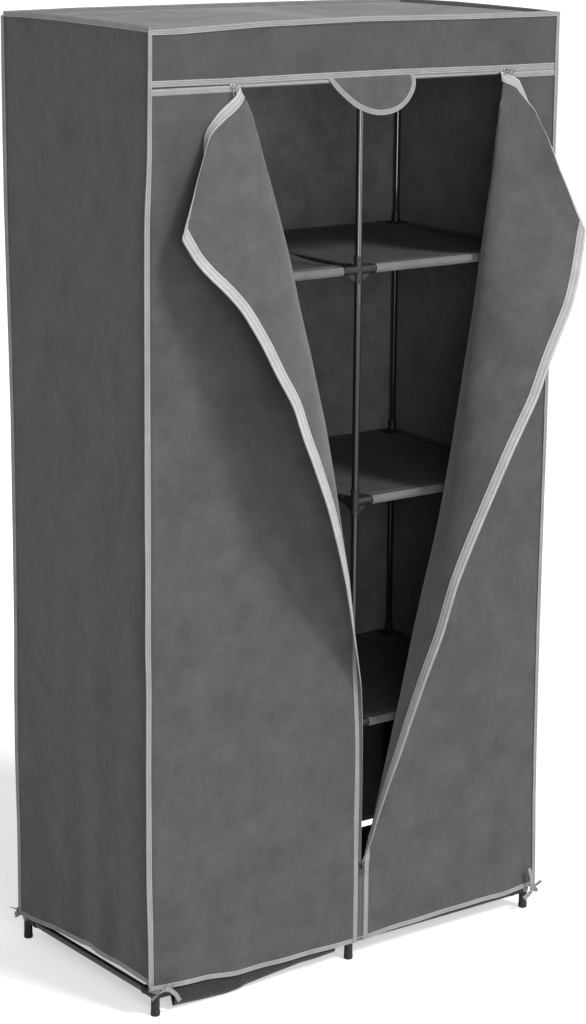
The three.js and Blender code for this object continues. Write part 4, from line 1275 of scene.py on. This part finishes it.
for side, stations, sign in (("left", left_rows, 1), ("right", right_rows, -1)):
    grid = door_grid(side, stations, sign)
    door = piece(f"{side}_door_cloth", *cloth_sheet(grid, cloth), door_outside, sharp=60)
    door.data.materials.append(door_inside_painted_light)
    half = len(door.data.vertices) // 2  # one face's points come before the other's
    for face in door.data.polygons:
        if all((k < half) == (sign > 0) for k in face.vertices):
            face.material_index = 1
    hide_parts("door_" + side, "flap_" + side)
    bindings = [edge_strip(grid, "end", outer_across, outer_height, True, tape_rise),
                edge_strip(grid, "first", outer_across - top_shift[side], outer_height, True),
                hem_binding(grid, "last", (0, (0, -1, 0)))]
    inner_tapes = [edge_strip(grid, "end", inner_across, inner_height, False, tape_rise),
                   edge_strip(grid, "first", inner_across, inner_height, False)]
    zip_tapes = [edge_strip(grid, "end", zip_across, zip_rise, True)]
    shift = 0 if side == "left" else 0.5  # one door's teeth stand between the other's
    teeth = joined([coil(grid[:, -1], (0, 1, 0), shift), coil(grid[0], (0, 1, 0), shift)])
    extras = [tape_piece(f"{side}_door_binding", bindings, outer_tape),
              tape_piece(f"{side}_door_inner_tape", inner_tapes, pale_tape),
              tape_piece(f"{side}_door_zip_tape", zip_tapes, painted_shade_tape),
              piece(f"{side}_door_zip_teeth", *teeth, pale_coil)]
    for part in [door, *extras]:
        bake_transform(part)


# Tab: a half-round piece of the cover's cloth that hangs from the valance's edge over the place where the
# zips meet, bound round its curve. It lifts at its sewn edge.

# Outline (across, up), top edge, middle, the seam's place, and how far it falls forwards and swells over
# its bend (millimetres)
tab_outline = [(-78.4, 1617.6), (-72.8, 1608.9), (-62.5, 1598.3), (-52.1, 1589.3), (-45.2, 1584.2),
               (-31.3, 1573.9), (-17.4, 1565.1), (-11.8, 1562.5), (2.1, 1557.2), (16.1, 1552.7),
               (32.9, 1550.2), (52.5, 1550.9), (66.5, 1554), (80.5, 1559.4), (94.5, 1569.7), (104.1, 1582.3),
               (108.8, 1592), (110.7, 1602.8), (109.7, 1612.7), (107.5, 1617.6)]
tab_top, tab_middle, tab_seam_y = 1617.6, 18.0, -146.9
tab_fall, tab_swell, tab_bend = 2.2, 0.5, 10
heart_width = 0.25  # of the grid's first row, which lies along the top edge, as a share of the rim's
tab_steps = 60
outline = smoothed(spaced(np.array([(x, 0, z) for x, z in tab_outline]), tab_steps + 1), 3)


def tab_point(u, v):
    rim = outline[round(u * tab_steps)]
    heart = np.array([tab_middle + (rim[0] - tab_middle) * heart_width, 0, tab_top])
    place = heart + (rim - heart) * v
    share = min(1, max(0, (tab_top - place[2]) / tab_bend))
    y = tab_seam_y - tab_fall * ease(share) - tab_swell * ripple(place * MM, 30.0, 2.0) * share
    return (place[0] * MM, y * MM, place[2] * MM)


tab_grid = panel_grid(tab_steps, 24, tab_point)
# the tab has the lighter inner-face copy of the door cloth: painted light
tab = piece("tab_cloth", *cloth_sheet(tab_grid, cloth), door_inside_painted_light)
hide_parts("tab")
tab_binding = tape_piece("tab_binding", [hem_binding(tab_grid, "last", (tab_steps // 2, (0, -1, 0)))],
                         binding_tape)
for part in (tab, tab_binding):
    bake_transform(part)


# Zip sliders and pulls: cast metal. A slider is two shield-shaped plates joined by a wedge, with a bridge
# on the outer one; its pull is two rings in line, which turn on the bridge.


def cast_metal(name, tone, scuffed):
    return finish_of(name, smooth, {"Tone": (*tone, 1), "Scuffed tone": (*scuffed, 1), "Gloss": 0.3,
                                    "Grain": 900.0, "Grain depth": 0.1}, {"Metallic": 1.0})


light_metal = cast_metal("bright_zip_metal", (0.30, 0.30, 0.30), (0.5, 0.5, 0.5))
dark_metal = cast_metal("dark_zip_metal", (0.10, 0.10, 0.105), (0.3, 0.3, 0.3))
# Millimetres along, across and out from the middle of a slider
shield = [(-7, -2.4), (-7, 2.4), (-6, 3.25), (-2, 3.5), (2, 4.6), (5, 5), (6.4, 4.4), (7, 3), (7, 0.9),
          (6.2, 0), (7, -0.9), (7, -3), (6.4, -4.4), (5, -5), (2, -4.6), (-2, -3.5), (-6, -3.25)]
wedge = [(1.2, 0), (3.6, -1.3), (6.6, -1.2), (6.6, 1.2), (3.6, 1.3)]
# Outline, inner and outer face, and how far the rims are eased
slider_plates = [(shield, 1.5, 2.9, 0.4), (shield, -2.6, -1.4, 0.4), (wedge, -1.6, 1.6, 0.1)]
# The bridge, which leaves room under it for the ring's bar: its line and its flat section
arch = [(-3.8, 0, 2.6), (-3.6, 0, 4.6), (-2.4, 0, 5.9), (0, 0, 6.35), (2.4, 0, 5.9), (3.6, 0, 4.6),
        (3.8, 0, 2.6)]
arch_section = [(-1.1, -0.35), (1.1, -0.35), (1.1, 0.35), (-1.1, 0.35)]
# Each ring of a pull: where it starts, its length, width and bar, and how far out it turns
pull_rings = [(-1.6, 9.6, 6, 1.5), (6.9, 10.2, 8, 1.6)]
pin_out = 6.3


def plate(outline, low, high, bevel):
    """A flat plate with eased rims; points are (along, across, out)."""
    outline = np.array(outline, float)
    rims = [(0, 1 - bevel / 4), (bevel, 1), (high - low - bevel, 1), (high - low, 1 - bevel / 4)]
    points = [(*(corner * scale), low + rise) for rise, scale in rims for corner in outline]
    return np.array(points), ring_faces(len(rims), len(outline))


def ring_of(start, length, width, bar):
    """A rounded wire ring in the plane (along, across), from a place along."""
    turn = np.linspace(0, 2 * math.pi, 41)
    square = 0.55
    along = start + length / 2 + (length - bar) / 2 * np.sign(np.cos(turn)) * np.abs(np.cos(turn)) ** square
    across = (width - bar) / 2 * np.sign(np.sin(turn)) * np.abs(np.sin(turn)) ** square
    path = spaced(np.stack([along, across, 0 * turn], 1), 49)
    path = np.concatenate([path, path[1:3]])
    return sweep(path, circle(bar / 2, 10), [(0, 0, 1)] * len(path))


def placed(form, centre, along, across, out):
    """A form in (along, across, out) millimetres, set in the frame."""
    points, faces = form
    points = np.asarray(points, float) * MM
    return np.array(centre) + points @ np.array([along, across, out], float), faces


sliders = {  # centre on the zip, the way its wide end points, the way its pull hangs
    "left": ((slider_left, front_face, zip_height), (1, 0, 0), (0, 0, -1), light_metal),
    "right": ((slider_right, front_face, zip_height), (-1, 0, 0), (1, 0, 0), light_metal),
    "middle": ((zip_x, front_face, zip_low), (0, 0, 1), (0, 0, -1), dark_metal),
}
for side, (centre, way, hangs, metal) in sliders.items():
    forms = [plate(*sizes) for sizes in slider_plates] + [sweep(arch, arch_section, [(0, 1, 0)] * len(arch))]
    slider = piece(f"slider_{side}", *placed(joined(forms), centre, way, np.cross((0, -1, 0), way),
                                             (0, -1, 0)), metal)
    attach(slider, "zip_slider_" + side)
    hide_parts("zip_slider_" + side)
    rings = joined([ring_of(*sizes) for sizes in pull_rings])
    pull = piece(f"pull_{side}", *placed(rings, np.array(centre) - (0, pin_out * MM, 0), hangs,
                                         np.cross((0, -1, 0), hangs), (0, -1, 0)), metal)
    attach(pull, "zip_pull_" + side)
    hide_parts("zip_pull_" + side)


# Stage: a plain pale floor, a pale surround, and soft studio lights: a large one high in front, and a soft
# box in front at each side.
floor_mesh = bpy.data.meshes.new("floor")
reach = 60.0
floor_mesh.from_pydata([(-reach, -reach, 0), (reach, -reach, 0), (reach, reach, 0), (-reach, reach, 0)], [],
                       [(0, 1, 2, 3)])
floor = bpy.data.objects.new("floor", floor_mesh)
scene.collection.objects.link(floor)
pale = bpy.data.materials.new("pale_floor")
pale.use_nodes = True
pale_shader = pale.node_tree.nodes["Principled BSDF"]
pale_shader.inputs["Base Color"].default_value = (0.72, 0.72, 0.72, 1)
pale_shader.inputs["Roughness"].default_value = 0.9
# lit a little from below, like a light table, as far as the camera sees, so that shadows stay faint
seen = pale.node_tree.nodes.new("ShaderNodeLightPath")
glow = node(pale.node_tree, "Math", {0: seen.outputs["Is Camera Ray"], 1: 0.5}, operation="MULTIPLY")
pale_shader.inputs["Emission Color"].default_value = (1, 1, 1, 1)
pale.node_tree.links.new(glow.outputs[0], pale_shader.inputs["Emission Strength"])
floor_mesh.materials.append(pale)

surround = bpy.data.worlds.new("surround")
surround.use_nodes = True
surround.node_tree.nodes["Background"].inputs["Color"].default_value = (1.0, 1.0, 1.0, 1)
# white where the camera sees it past the floor, and dimmer as a light
beyond = surround.node_tree.nodes.new("ShaderNodeLightPath")
brightness = node(surround.node_tree, "Math", {0: beyond.outputs["Is Camera Ray"], 1: 0.6, 2: 0.42},
                  operation="MULTIPLY_ADD")
surround.node_tree.links.new(brightness.outputs[0], surround.node_tree.nodes["Background"].inputs["Strength"])
scene.world = surround
scene.view_settings.view_transform = "Standard"


def aimed(name, data, place, target):
    """A lamp at a place, pointed at a target."""
    lamp = bpy.data.objects.new(name, data)
    scene.collection.objects.link(lamp)
    lamp.location = place
    lamp.rotation_mode = "QUATERNION"
    lamp.rotation_quaternion = (Vector(target) - Vector(place)).to_track_quat("-Z", "Y")


def soft_light(name, place, target, size, power):
    """A soft box: its width and height in metres, and its power in watts."""
    data = bpy.data.lights.new(name, "AREA")
    data.shape = "RECTANGLE"
    data.size, data.size_y = size
    data.energy = power
    aimed(name, data, place, target)


window = bpy.data.lights.new("high_window", "SUN")
window.energy = 2.5
window.angle = math.radians(13)
aimed("high_window", window, (1.0, -2.7, 3.7), (0, 0, 0.6))
soft_light("left_softbox", (-1.7, -3.2, 1.6), (0.1, 0, 1.1), (1.4, 1.8), 50)
soft_light("right_softbox", (1.2, -3.6, 1.5), (-0.1, 0, 1.1), (1.2, 1.8), 26)
